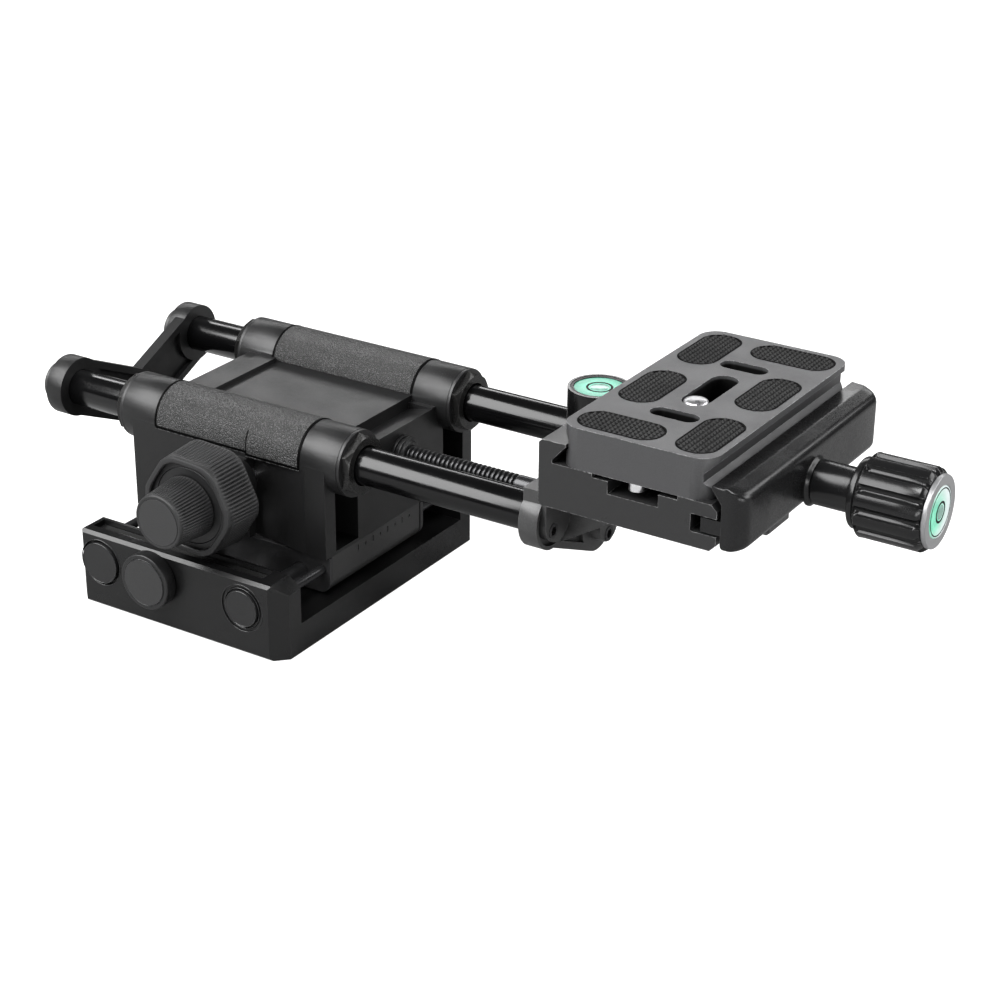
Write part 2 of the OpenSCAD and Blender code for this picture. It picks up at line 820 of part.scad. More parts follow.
module base_channel() {
  color("#1c1d1f")
    difference() {
      linear_extrude(wall_height)
        base_plan();
      box(-base_length, base_length, -inner_y, inner_y, floor_thickness, wall_height + cut_over);
      both_walls()
        wall_cuts();
      both_ends()
        side_profile(-base_width, base_width)
          polygon([[end_x - bevel_length, wall_height], [end_x, wall_height - bevel_drop],
            [end_x + cut_over, wall_height - bevel_drop],
            [end_x + cut_over, wall_height + cut_over],
            [end_x - bevel_length, wall_height + cut_over]]);
      for (x = [left_rod_x, right_rod_x])
        round_y(x, cross_rod_z, -base_width, base_width, cross_rod_radius + seat_gap);
      round_y(cross_screw_x, cross_screw_z, -base_width, base_width, cross_screw_radius + running_gap);
      round_y(cross_screw_x, cross_screw_z, end_y - cap_recess_depth, base_width, cap_recess_radius);
      bush_bore(0, centre_bush_radius);
      bush_bore(-side_thread_offset, side_bush_radius);
      bush_bore(side_thread_offset, side_bush_radius);
    }
}

// Cuts made in each wall: pocket, chamfers, cap recesses and pin seats
module wall_cuts() {
  y0 = -inner_y - pocket_land - pocket_width;
  translate([pocket_shift, 0, 0])
    box(-pocket_length / 2, pocket_length / 2, y0, y0 + pocket_width,
      wall_height - pocket_depth, wall_height + cut_over);
  end_profile(-base_length, base_length)
    polygon([[-end_y - cut_over, wall_height - top_chamfer], [-end_y, wall_height - top_chamfer],
      [-end_y + top_chamfer, wall_height], [-end_y + top_chamfer, wall_height + cut_over],
      [-end_y - cut_over, wall_height + cut_over]]);
  end_profile(-base_length, base_length)
    polygon([[-end_y - cut_over, -cut_over], [-end_y + foot_chamfer, -cut_over],
      [-end_y + foot_chamfer, 0], [-end_y, foot_chamfer], [-end_y - cut_over, foot_chamfer]]);
  for (x = [left_rod_x, right_rod_x])
    round_y(x, cross_rod_z, -base_width, -end_y + cap_recess_depth, cap_recess_radius);
  for (x = [-pin_offset_x, pin_offset_x])
    round_y(x, pin_z, -inner_y - pin_seat, -inner_y + cut_over, pin_radius + seat_gap);
}

// Bore and flange seat for a threaded bush
module bush_bore(y, r) {
  round_z(0, y, -cut_over, floor_thickness + cut_over, r + seat_gap);
  round_z(0, y, floor_thickness - bush_flange, floor_thickness + cut_over, r + bush_lip + seat_gap);
}

module bush(y, r, bore) {
  difference() {
    union() {
      round_z(0, y, 0, floor_thickness - bush_flange, r);
      round_z(0, y, floor_thickness - bush_flange, floor_thickness, r + bush_lip);
    }
    round_z(0, y, -cut_over, floor_thickness + cut_over, bore);
  }
}

module centre_bush() {
  color("#9a9da1")
    bush(0, centre_bush_radius, centre_thread_radius);
}

module side_bushes() {
  color("#9a9da1")
    for (y = [-side_thread_offset, side_thread_offset])
      bush(y, side_bush_radius, side_thread_radius);
}

module wall_strips() {
  y0 = -inner_y - pocket_land - pocket_width;
  color("#101113")
    both_walls()
      translate([pocket_shift, 0, 0])
        box(-pocket_length / 2 + strip_gap, pocket_length / 2 - strip_gap, y0 + strip_gap,
          y0 + pocket_width - strip_gap, wall_height - pocket_depth,
          wall_height - pocket_depth + strip_thickness);
}

module cross_rods() {
  color("#b9bcc0")
    for (x = [left_rod_x, right_rod_x])
      round_y(x, cross_rod_z, -end_y + cap_recess_depth, end_y - cap_recess_depth, cross_rod_radius);
}

module guide_pins() {
  color("#b9bcc0")
    for (x = [-pin_offset_x, pin_offset_x])
      round_y(x, pin_z, -inner_y - pin_seat, inner_y + pin_seat, pin_radius);
}

// Disc caps over the front rod ends
module front_caps() {
  seat = -end_y + cap_recess_depth;
  r = cap_recess_radius - seat_gap;
  color("#17181a") {
    round_y(left_rod_x, cross_rod_z, -end_y - disc_proud, seat, left_disc_radius);
    round_y(left_rod_x, cross_rod_z, -end_y + 2 * cap_set_back, seat, r);
    round_y(right_rod_x, cross_rod_z, -end_y - disc_proud, seat, right_disc_radius);
    round_y(right_rod_x, cross_rod_z, -end_y + 2 * cap_set_back, seat, r);
    difference() {
      round_y(right_rod_x, cross_rod_z, -end_y + cap_set_back / 2, seat, r);
      round_y(right_rod_x, cross_rod_z, -base_width, seat, r - cap_ring_width);
    }
  }
}

module rear_caps() {
  seat = end_y - cap_recess_depth;
  r = cap_recess_radius - seat_gap;
  color("#17181a") {
    for (x = [left_rod_x, right_rod_x])
      round_y(x, cross_rod_z, seat, end_y - cap_set_back / 2, r);
    round_y(cross_screw_x, cross_screw_z, seat, end_y - cap_set_back / 2, r);
  }
}

module cross_screw() {
  color("#a6a9ad") {
    round_y(cross_screw_x, cross_screw_z, -end_y - cross_knob_height + cross_disc_depth,
      end_y - cap_recess_depth - seat_gap, cross_screw_radius);
    round_y(cross_screw_x, cross_screw_z, -inner_y + running_gap,
      -inner_y + running_gap + snap_thickness, snap_radius);
  }
}

module cross_knob() {
  color("#1b1c1e")
    difference() {
      round_y(cross_screw_x, cross_screw_z, -end_y - cross_knob_height,
        -end_y - running_gap, cross_knob_radius);
      round_y(cross_screw_x, cross_screw_z, -end_y - cross_knob_height - cut_over,
        -end_y - cross_knob_height + cross_disc_depth, cross_disc_radius + seat_gap);
      round_y(cross_screw_x, cross_screw_z, -base_width, base_width,
        cross_screw_radius + seat_gap);
    }
}

module cross_knob_disc() {
  color("#141517")
    round_y(cross_screw_x, cross_screw_z, -end_y - cross_knob_height - cross_disc_proud,
      -end_y - cross_knob_height + cross_disc_depth, cross_disc_radius);
}

// End view of the slide block, grown at the sides and shrunk at top and bottom
module block_outline(grow, inset) {
  x1 = half_block + grow;
  z0 = block_bottom + inset;
  z1 = block_top - inset;
  translate([-x1, z0 + block_round])
    square([2 * x1, z1 - z0 - block_round]);
  translate([-x1 + block_round, z0])
    square([2 * (x1 - block_round), block_round + inset]);
  for (x = [-x1 + block_round, x1 - block_round])
    translate([x, z0 + block_round])
      circle(block_round);
}

// Bores through the block for rods, screw and pins
module block_bores(rod_bore, screw_bore, slim_bore) {
  for (x = [left_rod_x, right_rod_x])
    round_y(x, cross_rod_z, -base_width, base_width, rod_bore);
  round_y(cross_screw_x, cross_screw_z, -base_width, base_width, screw_bore);
  for (x = [-pin_offset_x, pin_offset_x])
    round_y(x, pin_z, -base_width, base_width, slim_bore);
}

module slide_block() {
  color("#1c1d1f")
    difference() {
      side_profile(-block_front, block_rear)
        block_outline(0, 0);
      block_bores(cross_bush_radius + seat_gap, cross_nut_radius + seat_gap,
        pin_radius + running_gap);
      for (x = [left_bolt_x, right_bolt_x], y = [front_bolt_y, rear_bolt_y]) {
        round_z(x, y, 0, wall_height, bolt_radius + seat_gap);
        round_z(x, y, 0, block_bottom + bolt_head_height, bolt_head_radius + seat_gap);
      }
      ticks();
    }
}

// Plain row of graduation marks cut in the right face
module ticks() {
  d = half_block - tick_depth;
  for (i = [0 : 3]) {
    y = front_y + wall_thickness + (i + 1) * tick_spacing - tick_size;
    box(d, half_block + cut_over, y, y + tick_size / 3, tick_z - tick_size / 2, tick_z + tick_size / 2);
    box(d, half_block + cut_over, y + tick_spacing / 2, y + tick_spacing / 2 + tick_size / 3,
      tick_z - tick_size / 4, tick_z + tick_size / 4);
  }
}

module wiper_plates() {
  color("#232426")
    difference() {
      union() {
        side_profile(-block_front - wiper_thickness, -block_front)
          block_outline(wiper_proud, wiper_inset);
        side_profile(block_rear, block_rear + wiper_thickness)
          block_outline(wiper_proud, wiper_inset);
      }
      block_bores(cross_rod_radius + running_gap, cross_screw_radius + running_gap,
        pin_radius + running_gap);
    }
}

module cross_bushes() {
  color("#8b7d57")
    difference() {
      for (x = [left_rod_x, right_rod_x]) {
        round_y(x, cross_rod_z, -block_front, -block_front + cross_bush_length, cross_bush_radius);
        round_y(x, cross_rod_z, block_rear - cross_bush_length, block_rear, cross_bush_radius);
      }
      for (x = [left_rod_x, right_rod_x])
        round_y(x, cross_rod_z, -base_width, base_width, cross_rod_radius + running_gap);
    }
}

module cross_nut() {
  color("#8b7d57")
    difference() {
      round_y(cross_screw_x, cross_screw_z, -cross_nut_length / 2, cross_nut_length / 2,
        cross_nut_radius);
      round_y(cross_screw_x, cross_screw_z, -cross_nut_length, cross_nut_length,
        cross_screw_radius + running_gap);
    }
}

module block_screws() {
  color("#2a2b2d")
    for (x = [left_bolt_x, right_bolt_x], y = [front_bolt_y, rear_bolt_y]) {
      round_z(x, y, block_bottom + seat_gap, block_bottom + bolt_head_height, bolt_head_radius);
      round_z(x, y, block_bottom + bolt_head_height, block_top + bolt_reach, bolt_radius);
    }
}

// Zone taken by one grip cover, seen from its rod axis; side is -1 at the front, 1 at the rear
module cover_zone(side, inner, outer, over) {
  difference() {
    round_x(-cover_half - over, cover_half + over, 0, 0, outer);
    round_x(-base_length, base_length, 0, 0, inner);
    box(-base_length, seam_x, -base_width, base_width, -base_width, cover_edge_left - rod_z - over);
    box(seam_x - cut_over, base_length, -base_width, base_width, -base_width,
      cover_edge_right - rod_z - over);
    mirror([0, side > 0 ? 1 : 0, 0])
      box(-base_length, base_length, 0, base_width, -base_width, deck_z - rod_z - over);
  }
}

// Cover with the short seam on its outer side
module cover(side) {
  difference() {
    cover_zone(side, cover_inner, cover_radius, 0);
    mirror([0, side > 0 ? 1 : 0, 0])
      box(seam_x, seam_x + seam_width, -base_width, 0, -base_width, seam_top - rod_z);
  }
}

module front_cover() {
  color("#202123")
    translate([0, cy - half_rods, rod_z])
      cover(-1);
}

module rear_cover() {
  color("#202123")
    translate([0, cy + half_rods, rod_z])
      cover(1);
}

module housing() {
  color("#1e1f21")
    difference() {
      union() {
        difference() {
          housing_shell();
          gear_cavity();
        }
        posts();
      }
      housing_bores();
    }
}

// Walls, deck, tubes and the round boss
module housing_shell() {
  h = half_housing;
  box(-h, h, cy - slot_inner, cy + slot_inner, front_foot_z, ledge_z);
  box(-h, h - ledge_length, cy - slot_inner, cy + slot_inner, front_foot_z, deck_z);
  box(-h, -h + bar_width, cy - slot_inner, cy + slot_inner, front_foot_z, deck_z + bar_height / 2);
  box(-h + bar_step, -h + bar_width, cy - slot_inner, cy + slot_inner, front_foot_z,
    deck_z + bar_height);
  box(-h, h, front_y, cy - slot_outer, front_foot_z, rod_z);
  box(-h, h, cy + slot_outer, rear_y, rear_foot_z, rod_z);
  box(-h, h, front_y, cy - slot_inner, front_foot_z, slot_floor);
  box(-h, h, cy + slot_inner, rear_y, rear_foot_z, rear_foot_z + rear_floor);
  both_rods()
    round_x(-half_tube, half_tube, 0, 0, tube_radius);
  round_y(drive_x, drive_z, boss_y, front_y + cut_over, boss_radius);
}

// Open space for the gears, closed below by the slide block
module gear_cavity() {
  box(-cavity_half_length, cavity_half_length, cy - cavity_half_width, rear_step_y,
    front_foot_z - cut_over, cavity_top);
  box(-cavity_half_length, cavity_half_length, rear_step_y - cut_over, cy + cavity_half_width,
    rear_foot_z + rear_floor, cavity_top);
}

module posts() {
  for (x = [left_bolt_x, right_bolt_x], y = [front_bolt_y, rear_bolt_y])
    round_z(x, y, front_foot_z, cavity_top + cut_over, post_radius);
}

module housing_bores() {
  h = half_housing;
  both_rods()
    round_x(-base_length, base_length, 0, 0, tube_bore + seat_gap);
  translate([0, cy - half_rods, rod_z])
    cover_zone(-1, cover_inner - seat_gap, cover_radius + cut_over, seat_gap);
  translate([0, cy + half_rods, rod_z])
    cover_zone(1, cover_inner - seat_gap, cover_radius + cut_over, seat_gap);
  box(-base_length, base_length, rear_step_y, base_width, 0, rear_foot_z);
  side_profile(cy - ledge_half, cy + ledge_half)
    polygon([[h - ledge_length, ledge_z - ledge_dip], [h + cut_over, ledge_z],
      [h + cut_over, deck_z + cut_over], [h - ledge_length, deck_z + cut_over]]);
  linear_extrude(scoop_top)
    polygon([[scoop_start, front_y - cut_over], [scoop_start, front_y + scoop_depth],
      [scoop_end, front_y], [scoop_end, front_y - cut_over]]);
  round_x(-base_length, base_length, cy, rack_z, rack_radius + running_gap);
  both_ends()
    round_x(h - gland_seat, h + cut_over, cy, rack_z, gland_shank + seat_gap);
  round_y(drive_x, drive_z, boss_y - cut_over, cy, shaft_radius + running_gap);
  round_y(lay_x, lay_z, cy - cavity_half_width - lay_seat, cy + cavity_half_width + lay_seat,
    lay_radius + running_gap);
  for (x = [left_bolt_x, right_bolt_x], y = [front_bolt_y, rear_bolt_y])
    round_z(x, y, 0, block_top + bolt_reach, bolt_radius + seat_gap);
}

module sleeve_bushes() {
  color("#5b5d60")
    difference() {
      both_rods()
        both_ends()
          round_x(half_tube - sleeve_length, half_tube, 0, 0, tube_bore);
      both_rods()
        round_x(-base_length, base_length, 0, 0, rod_radius + running_gap);
    }
}

module collar_rings() {
  color("#26272a")
    difference() {
      both_rods()
        both_ends()
          round_x(half_tube, half_tube + ring_thickness, 0, 0, ring_radius);
      both_rods()
        round_x(-base_length, base_length, 0, 0, rod_radius + collar_clearance);
    }
}

// Six-sided nut with a turned chamfer on its outer face
module collar_nuts() {
  x0 = half_tube + ring_thickness;
  color("#2b2c2f")
    both_rods()
      both_ends()
        difference() {
          intersection() {
            end_profile(x0, x0 + nut_thickness)
              rotate(90)
                circle(nut_corner, $fn = 6);
            cone_x(x0, x0 + nut_thickness, 0, 0, nut_corner + nut_thickness - (nut_corner - nut_face),
              nut_face);
          }
          round_x(-base_length, base_length, 0, 0, rod_radius + collar_clearance);
        }
}

// Grooved bush where the rack enters the housing
module gland() {
  x0 = half_housing;
  difference() {
    union() {
      round_x(x0 - gland_seat, x0, 0, 0, gland_shank);
      round_x(x0, x0 + gland_ring, 0, 0, gland_radius);
      round_x(x0 + gland_ring, x0 + 2 * gland_ring, 0, 0, gland_groove);
      round_x(x0 + 2 * gland_ring, x0 + 3 * gland_ring, 0, 0, gland_radius);
      cone_x(x0 + 3 * gland_ring, x0 + 4 * gland_ring, 0, 0, gland_groove, gland_shank);
    }
    round_x(-base_length, base_length, 0, 0, rack_radius + running_gap);
  }
}

module rack_glands() {
  color("#2b2c2f")
    translate([0, cy, rack_z])
      both_ends()
        gland();
}

// Short teeth cut around a gear rim
module gear(x, z, y0, y1, r, teeth) {
  difference() {
    round_y(x, z, y0, y1, r);
    for (i = [0 : teeth - 1])
      translate([x, 0, z])
        rotate([0, 360 / teeth * i, 0])
          round_y(r, 0, y0 - cut_over, y1 + cut_over, PI * r / teeth / 2);
  }
}

module drive_shaft() {
  color("#a6a9ad")
    difference() {
      union() {
        round_y(drive_x, drive_z, hub_front + cut_over, gear_front + gear_width, shaft_radius);
        gear(drive_x, drive_z, gear_front, gear_front + gear_width, gear_small - mesh_gap / 2,
          small_teeth);
      }
      round_y(drive_x, drive_z, -base_width, base_width, shaft_bore);
    }
}

module lay_pinion() {
  color("#8b7d57") {
    round_y(lay_x, lay_z, cy - cavity_half_width - lay_seat + seat_gap,
      cy + cavity_half_width + lay_seat - seat_gap, lay_radius);
    gear(lay_x, lay_z, gear_front, gear_front + gear_width, gear_large - mesh_gap / 2,
      small_teeth * gear_large / gear_small);
    gear(lay_x, lay_z, cy - pinion_width / 2, cy + pinion_width / 2,
      pinion_radius - tooth_depth / 2 - mesh_gap, pinion_teeth);
  }
}

module focus_washer() {
  color("#8d8f92")
    difference() {
      round_y(drive_x, drive_z, hub_rear, hub_rear + washer_thickness, washer_radius);
      round_y(drive_x, drive_z, -base_width, base_width, shaft_radius + seat_gap);
    }
}

module focus_hub() {
  color("#191a1c")
    difference() {
      round_y(drive_x, drive_z, hub_front, hub_rear, hub_radius);
      round_y(drive_x, drive_z, hub_front + cut_over, base_width, shaft_radius + seat_gap);
      round_y(drive_x, drive_z, -base_width, base_width, lock_spindle_radius + running_gap);
    }
}

// Six-sided grip with turned corners and a six-sided recess in its face
module focus_grip() {
  color("#1a1b1d")
    difference() {
      intersection() {
        translate([drive_x, grip_y, drive_z])
          rotate([-90, 0, 0])
            rotate(grip_turn)
              cylinder(h = grip_length, r1 = grip_front, r2 = grip_rear, $fn = 6);
        cone_y(drive_x, drive_z, grip_y, hub_rear, grip_round_front, grip_round_rear);
      }
      round_y(drive_x, drive_z, -base_width, base_width, hub_radius + seat_gap);
      translate([drive_x, grip_y - cut_over, drive_z])
        rotate([-90, 0, 0])
          rotate(grip_turn)
            cylinder(h = face_recess + cut_over, r = face_corner, $fn = 6);
    }
}

module lock_spindle() {
  color("#a6a9ad")
    round_y(drive_x, drive_z, lock_face + lock_length / 2, gear_front + gear_width,
      lock_spindle_radius);
}

module lock_knob() {
  color("#1a1b1d")
    difference() {
      cone_y(drive_x, drive_z, lock_face, lock_y, lock_front, lock_rear);
      round_y(drive_x, drive_z, lock_face + lock_length / 2, base_width,
        lock_spindle_radius + seat_gap);
      round_y(drive_x, drive_z, -base_width, lock_face + lock_disc_depth,
        lock_disc_radius + seat_gap);
    }
}

module lock_disc() {
  color("#242527")
    round_y(drive_x, drive_z, lock_face, lock_face + lock_disc_depth, lock_disc_radius);
}

module rods() {
  color("#0d0e10")
    both_rods()
      round_x(-left_face - bracket_thickness, rod_end, 0, 0, rod_radius);
}

// Round bar with ring teeth along most of its length
module rack_bar() {
  d = tooth_depth;
  p = rack_pitch;
  color("#3a3b3e")
    translate([0, cy, rack_z])
      rotate([0, 90, 0])
        rotate_extrude()
          polygon(concat([[0, -left_face - rack_seat], [rack_radius, -left_face - rack_seat]],
            [for (i = [0 : teeth_count - 1], k = [0 : 3])
              [k == 0 || k == 3 ? rack_radius : rack_radius - d,
                teeth_low + p * i + p * k / 4]],
            [[rack_radius, right_face + rack_seat], [0, right_face + rack_seat]]));
}

// Front view of the bracket arms: a shallow vee between the rods
module vee(r) {
  for (side = [-1, 1])
    translate([cy, middle_z])
      rotate(side > 0 ? arm_angle : 180 - arm_angle)
        translate([0, -r])
          square([arm_length, 2 * r]);
  translate([cy, middle_z])
    circle(r);
}

// Bracket with its inner face at zero and its body toward +X
module bracket_plate() {
  difference() {
    union() {
      end_profile(0, arm_thickness)
        vee(arm_half);
      both_rods()
        round_x(0, bracket_thickness, 0, 0, eye_radius);
    }
    for (x = [-cut_over, arm_thickness - web_depth])
      end_profile(x, x + web_depth + cut_over)
        difference() {
          vee(arm_half - web_rim);
          for (side = [-1, 1])
            translate([cy + side * half_rods, rod_z])
              circle(eye_radius);
          translate([cy, middle_z])
            circle(arm_half);
        }
  }
}

module left_bracket() {
  color("#1d1e20")
    difference() {
      translate([-left_face, 0, 0])
        mirror([1, 0, 0])
          bracket_plate();
      both_rods()
        round_x(-base_width, 0, 0, 0, rod_radius + seat_gap);
      round_x(-left_face - rack_seat, 0, cy, rack_z, rack_radius + seat_gap);
    }
}

module rod_plugs() {
  x1 = -left_face - bracket_thickness;
  color("#17181a")
    both_rods()
      difference() {
        round_x(x1 - plug_length, x1, 0, 0, plug_radius);
        end_profile(x1 - plug_length - cut_over, x1 - plug_length + plug_socket_depth)
          circle(plug_socket, $fn = 6);
      }
}

// Centres of the three bracket screws as cross and height positions
module stud_places() {
  for (p = [[cy - half_rods - stud_shift, rod_z - stud_drop],
      [cy + half_rods + stud_shift, rod_z - stud_drop], [cy, middle_z - stud_middle_drop]])
    translate([0, p[0], p[1]])
      children();
}

// Upright lugs that join the eyes and the middle of the bracket to the clamp
module lugs() {
  end_profile(right_face, lug_x) {
    lug_outline(cy - half_rods, rod_z, lug_radius);
    lug_outline(cy + half_rods, rod_z, lug_radius);
    lug_outline(cy, middle_z, beam_half - lip_tip);
  }
}

// Upright strip with a round lower end
module lug_outline(y, z, r) {
  translate([y, z])
    circle(r);
  translate([y - r, z])
    square([2 * r, clamp_bottom - z]);
}

// Side webs that rise from the bracket to the clamp, and the shelf between them
module gussets() {
  x0 = lug_x - 2 * web_depth;
  x1 = lug_x + gusset_length;
  z0 = clamp_bottom - beam_height;
  for (y = [cy - gusset_half, cy + gusset_half - gusset_thickness])
    side_profile(y, y + gusset_thickness)
      polygon([[x0, z0 - gusset_drop], [x1, z0], [x1, clamp_bottom], [x0, clamp_bottom]]);
  box(lug_x - web_depth, x1, cy - gusset_half + web_depth, cy + gusset_half - web_depth,
    clamp_bottom - beam_height / 2, clamp_bottom);
}

module right_bracket() {
  z0 = clamp_bottom - beam_height;
  color("#1d1e20")
    difference() {
      union() {
        difference() {
          translate([right_face, 0, 0])
            bracket_plate();
          both_rods()
            round_x(right_face + bracket_thickness - web_depth, clamp_right, 0, 0,
              eye_radius - web_rim / 2);
        }
        lugs();
        gussets();
        beam();
      }
      both_rods()
        round_x(right_face - cut_over, rod_end, 0, 0, rod_radius + seat_gap);
      round_x(right_face - cut_over, right_face + rack_seat, cy, rack_z, rack_radius + seat_gap);
      stud_places()
        round_x(lug_x - stud_depth, lug_x + cut_over, 0, 0, stud_radius + seat_gap);
      for (x = [clamp_left + clamp_bolt_left, clamp_left + clamp_bolt_right]) {
        round_z(x, cy, 0, plate_top, clamp_bolt_radius + seat_gap);
        round_z(x, cy, 0, z0 + clamp_bolt_head_height, clamp_bolt_head + seat_gap);
      }
    }
}

// Beam that carries the clamp, with chamfered lower edges
module beam() {
  z0 = clamp_bottom - beam_height;
  c = beam_chamfer;
  w = beam_half;
  intersection() {
    end_profile(right_face, clamp_right)
      polygon([[cy - w, clamp_bottom], [cy - w, z0 + c], [cy - w + c, z0], [cy + w - c, z0],
        [cy + w, z0 + c], [cy + w, clamp_bottom]]);
    side_profile(-base_width, base_width)
      polygon([[right_face, z0], [beam_end - c, z0], [beam_end, z0 + c], [beam_end, clamp_bottom],
        [right_face, clamp_bottom]]);
  }
}

module bracket_screws() {
  color("#34363a")
    stud_places()
      difference() {
        round_x(lug_x - stud_depth, lug_x + stud_proud_end, 0, 0, stud_radius);
        end_profile(lug_x - stud_depth / 2, lug_x + cut_over)
          circle(stud_socket, $fn = 6);
      }
}

module clamp_body() {
  c = clamp_chamfer;
  b = jaw_break;
  top = channel_z + jaw_height;
  root = clamp_left + jaw_root;
  tip = root + lip_reach;
  g0 = clamp_bottom + tongue_floor;
  g1 = g0 + tongue_height;
  gx = clamp_right - tongue_groove;
  color("#202124")
    difference() {
      side_profile(clamp_front, clamp_rear)
        polygon([[clamp_left + b, clamp_bottom], [clamp_left, clamp_bottom + b],
          [clamp_left, top - b], [clamp_left + b, top], [tip, top], [tip, top - lip_tip],
          [root, channel_z + lip_root], [root, channel_z], [clamp_right - c, channel_z],
          [clamp_right, channel_z - c], [clamp_right, g1], [gx, g1], [gx, g0],
          [clamp_right, g0], [clamp_right, clamp_bottom + c], [clamp_right - c, clamp_bottom]]);
      box(clamp_left + relief_start, clamp_left + relief_start + relief_width, -base_width,
        base_width, channel_z - relief_depth, channel_z + cut_over);
      box(clamp_left + groove_start, clamp_left + groove_start + groove_width, -base_width,
        base_width, channel_z - groove_depth, channel_z + cut_over);
      round_x(clamp_right - spindle_reach - cut_over, clamp_right + cut_over, cy, knob_z,
        spindle_radius + running_gap);
      for (y = [cy - jaw_pin_offset, cy + jaw_pin_offset])
        round_x(jaw_x - jaw_pin_reach - 2 * cut_over, clamp_right + cut_over, y,
          g0 + tongue_height / 2, jaw_pin_radius + running_gap);
      for (x = [clamp_left + clamp_bolt_left, clamp_left + clamp_bolt_right])
        round_z(x, cy, 0, clamp_bottom + clamp_bolt_reach, clamp_bolt_radius + seat_gap);
    }
}

module clamp_bolts() {
  z0 = clamp_bottom - beam_height;
  color("#34363a")
    for (x = [clamp_left + clamp_bolt_left, clamp_left + clamp_bolt_right]) {
      round_z(x, cy, z0 + clamp_bolt_head_height / 3, z0 + clamp_bolt_head_height, clamp_bolt_head);
      round_z(x, cy, z0 + clamp_bolt_head_height, clamp_bottom + clamp_bolt_reach,
        clamp_bolt_radius);
    }
}

// Round cup of the side level with a lug to the clamp body
module level_cup() {
  color("#17181a")
    difference() {
      union() {
        round_z(level_x, cy, level_bottom, level_top, level_radius);
        box(level_x, clamp_left, cy - level_radius, cy + level_radius, level_bottom,
          level_top - level_depth);
      }
      round_z(level_x, cy, level_top - level_depth, level_top + cut_over, level_bore + seat_gap);
      box(clamp_left, clamp_right, -base_width, base_width, clamp_bottom, plate_top);
    }
}

module level_vial() {
  color("#9fe8bf")
    intersection() {
      round_z(level_x, cy, level_top - level_depth, level_top - level_vial_drop, level_vial_radius);
      box(-base_width, clamp_left - seat_gap, -base_width, base_width, 0, plate_top);
    }
}

module level_ring() {
  z1 = level_top - level_ring_drop;
  color("#111214")
    difference() {
      round_z(level_x, cy, z1 - level_ring_height, z1, level_bore);
      round_z(level_x, cy, 0, plate_top, level_vial_radius + seat_gap);
      box(clamp_left - seat_gap, clamp_right, -base_width, base_width, 0, plate_top);
    }
}

module moving_jaw() {
  z0 = clamp_bottom + jaw_lift;
  top = channel_z + jaw_top;
  g0 = clamp_bottom + tongue_floor + tongue_gap;
  g1 = clamp_bottom + tongue_floor + tongue_height - tongue_gap;
  tip = jaw_x - moving_reach;
  toe = jaw_toe;
  color("#1b1c1e")
    difference() {
      union() {
        intersection() {
          side_profile(clamp_front, clamp_rear)
            union() {
              polygon([[tip, top], [tip, top - lip_tip], [jaw_x, channel_z + lip_root],
                [jaw_x, z0 + toe / 2], [jaw_x + toe / 2, z0], [jaw_out - toe, z0],
                [jaw_out - toe, z0 + toe], [jaw_out, z0 + toe],
                [jaw_out, top - shoulder_drop],
                [jaw_out - jaw_break, top - shoulder_drop / 3],
                [tip + lip_reach + jaw_flat, top]]);
              translate([jaw_out - toe, z0 + toe])
                circle(toe);
            }
          linear_extrude(plate_top)
            round_plan(jaw_x - 2 * jaw_thickness, jaw_out, clamp_front, clamp_rear,
              jaw_end_round);
        }
        box(jaw_x - tongue_reach, jaw_x + cut_over, clamp_front, clamp_rear, g0, g1);
        cone_x(jaw_out - cut_over, jaw_out + jaw_boss_height, cy, knob_z, jaw_boss_radius,
          neck_radius);
      }
      round_x(clamp_left, jaw_out + 2 * cut_over, cy, knob_z, spindle_radius + running_gap);
      for (y = [cy - jaw_pin_offset, cy + jaw_pin_offset])
        round_x(jaw_x - jaw_pin_reach, jaw_x + jaw_pin_seat, y,
          clamp_bottom + tongue_floor + tongue_height / 2, jaw_pin_radius + seat_gap);
    }
}

module jaw_pins() {
  color("#b9bcc0")
    for (y = [cy - jaw_pin_offset, cy + jaw_pin_offset])
      round_x(jaw_x - jaw_pin_reach, jaw_x + jaw_pin_seat, y,
        clamp_bottom + tongue_floor + tongue_height / 2, jaw_pin_radius);
}

module clamp_spindle() {
  color("#a6a9ad")
    round_x(clamp_right - spindle_reach, flute_x + knob_length / 2, cy, knob_z, spindle_radius);
}

module clamp_knob() {
  c = knob_chamfer;
  color("#1b1c1e")
    difference() {
      union() {
        round_x(neck_x, rim_x, cy, knob_z, neck_radius);
        cone_x(rim_x - c, rim_x, cy, knob_z, neck_radius, rim_radius - c / 2);
        round_x(rim_x, flute_x, cy, knob_z, rim_radius);
        cone_x(flute_x, flute_x + c, cy, knob_z, knob_radius - c, knob_radius);
        round_x(flute_x + c, ring_x - c, cy, knob_z, knob_radius);
        cone_x(ring_x - c, ring_x, cy, knob_z, knob_radius, knob_radius - c);
      }
      for (i = [0 : flute_count - 1])
        translate([0, cy, knob_z])
          rotate([360 / flute_count * i, 0, 0])
            round_x(flute_x - seat_gap, ring_x + cut_over, 0, knob_radius + flute_radius / 3,
              flute_radius);
      round_x(0, flute_x + knob_length / 2, cy, knob_z, spindle_radius + seat_gap);
      round_x(ring_x - vial_depth + end_ring_thickness, ring_x + cut_over, cy, knob_z,
        vial_radius + seat_gap);
    }
}

module knob_ring() {
  color("#9c9fa3")
    difference() {
      round_x(ring_x, ring_x + end_ring_thickness, cy, knob_z, end_ring_radius);
      round_x(0, ring_x + 2 * end_ring_thickness, cy, knob_z, vial_radius + seat_gap);
    }
}

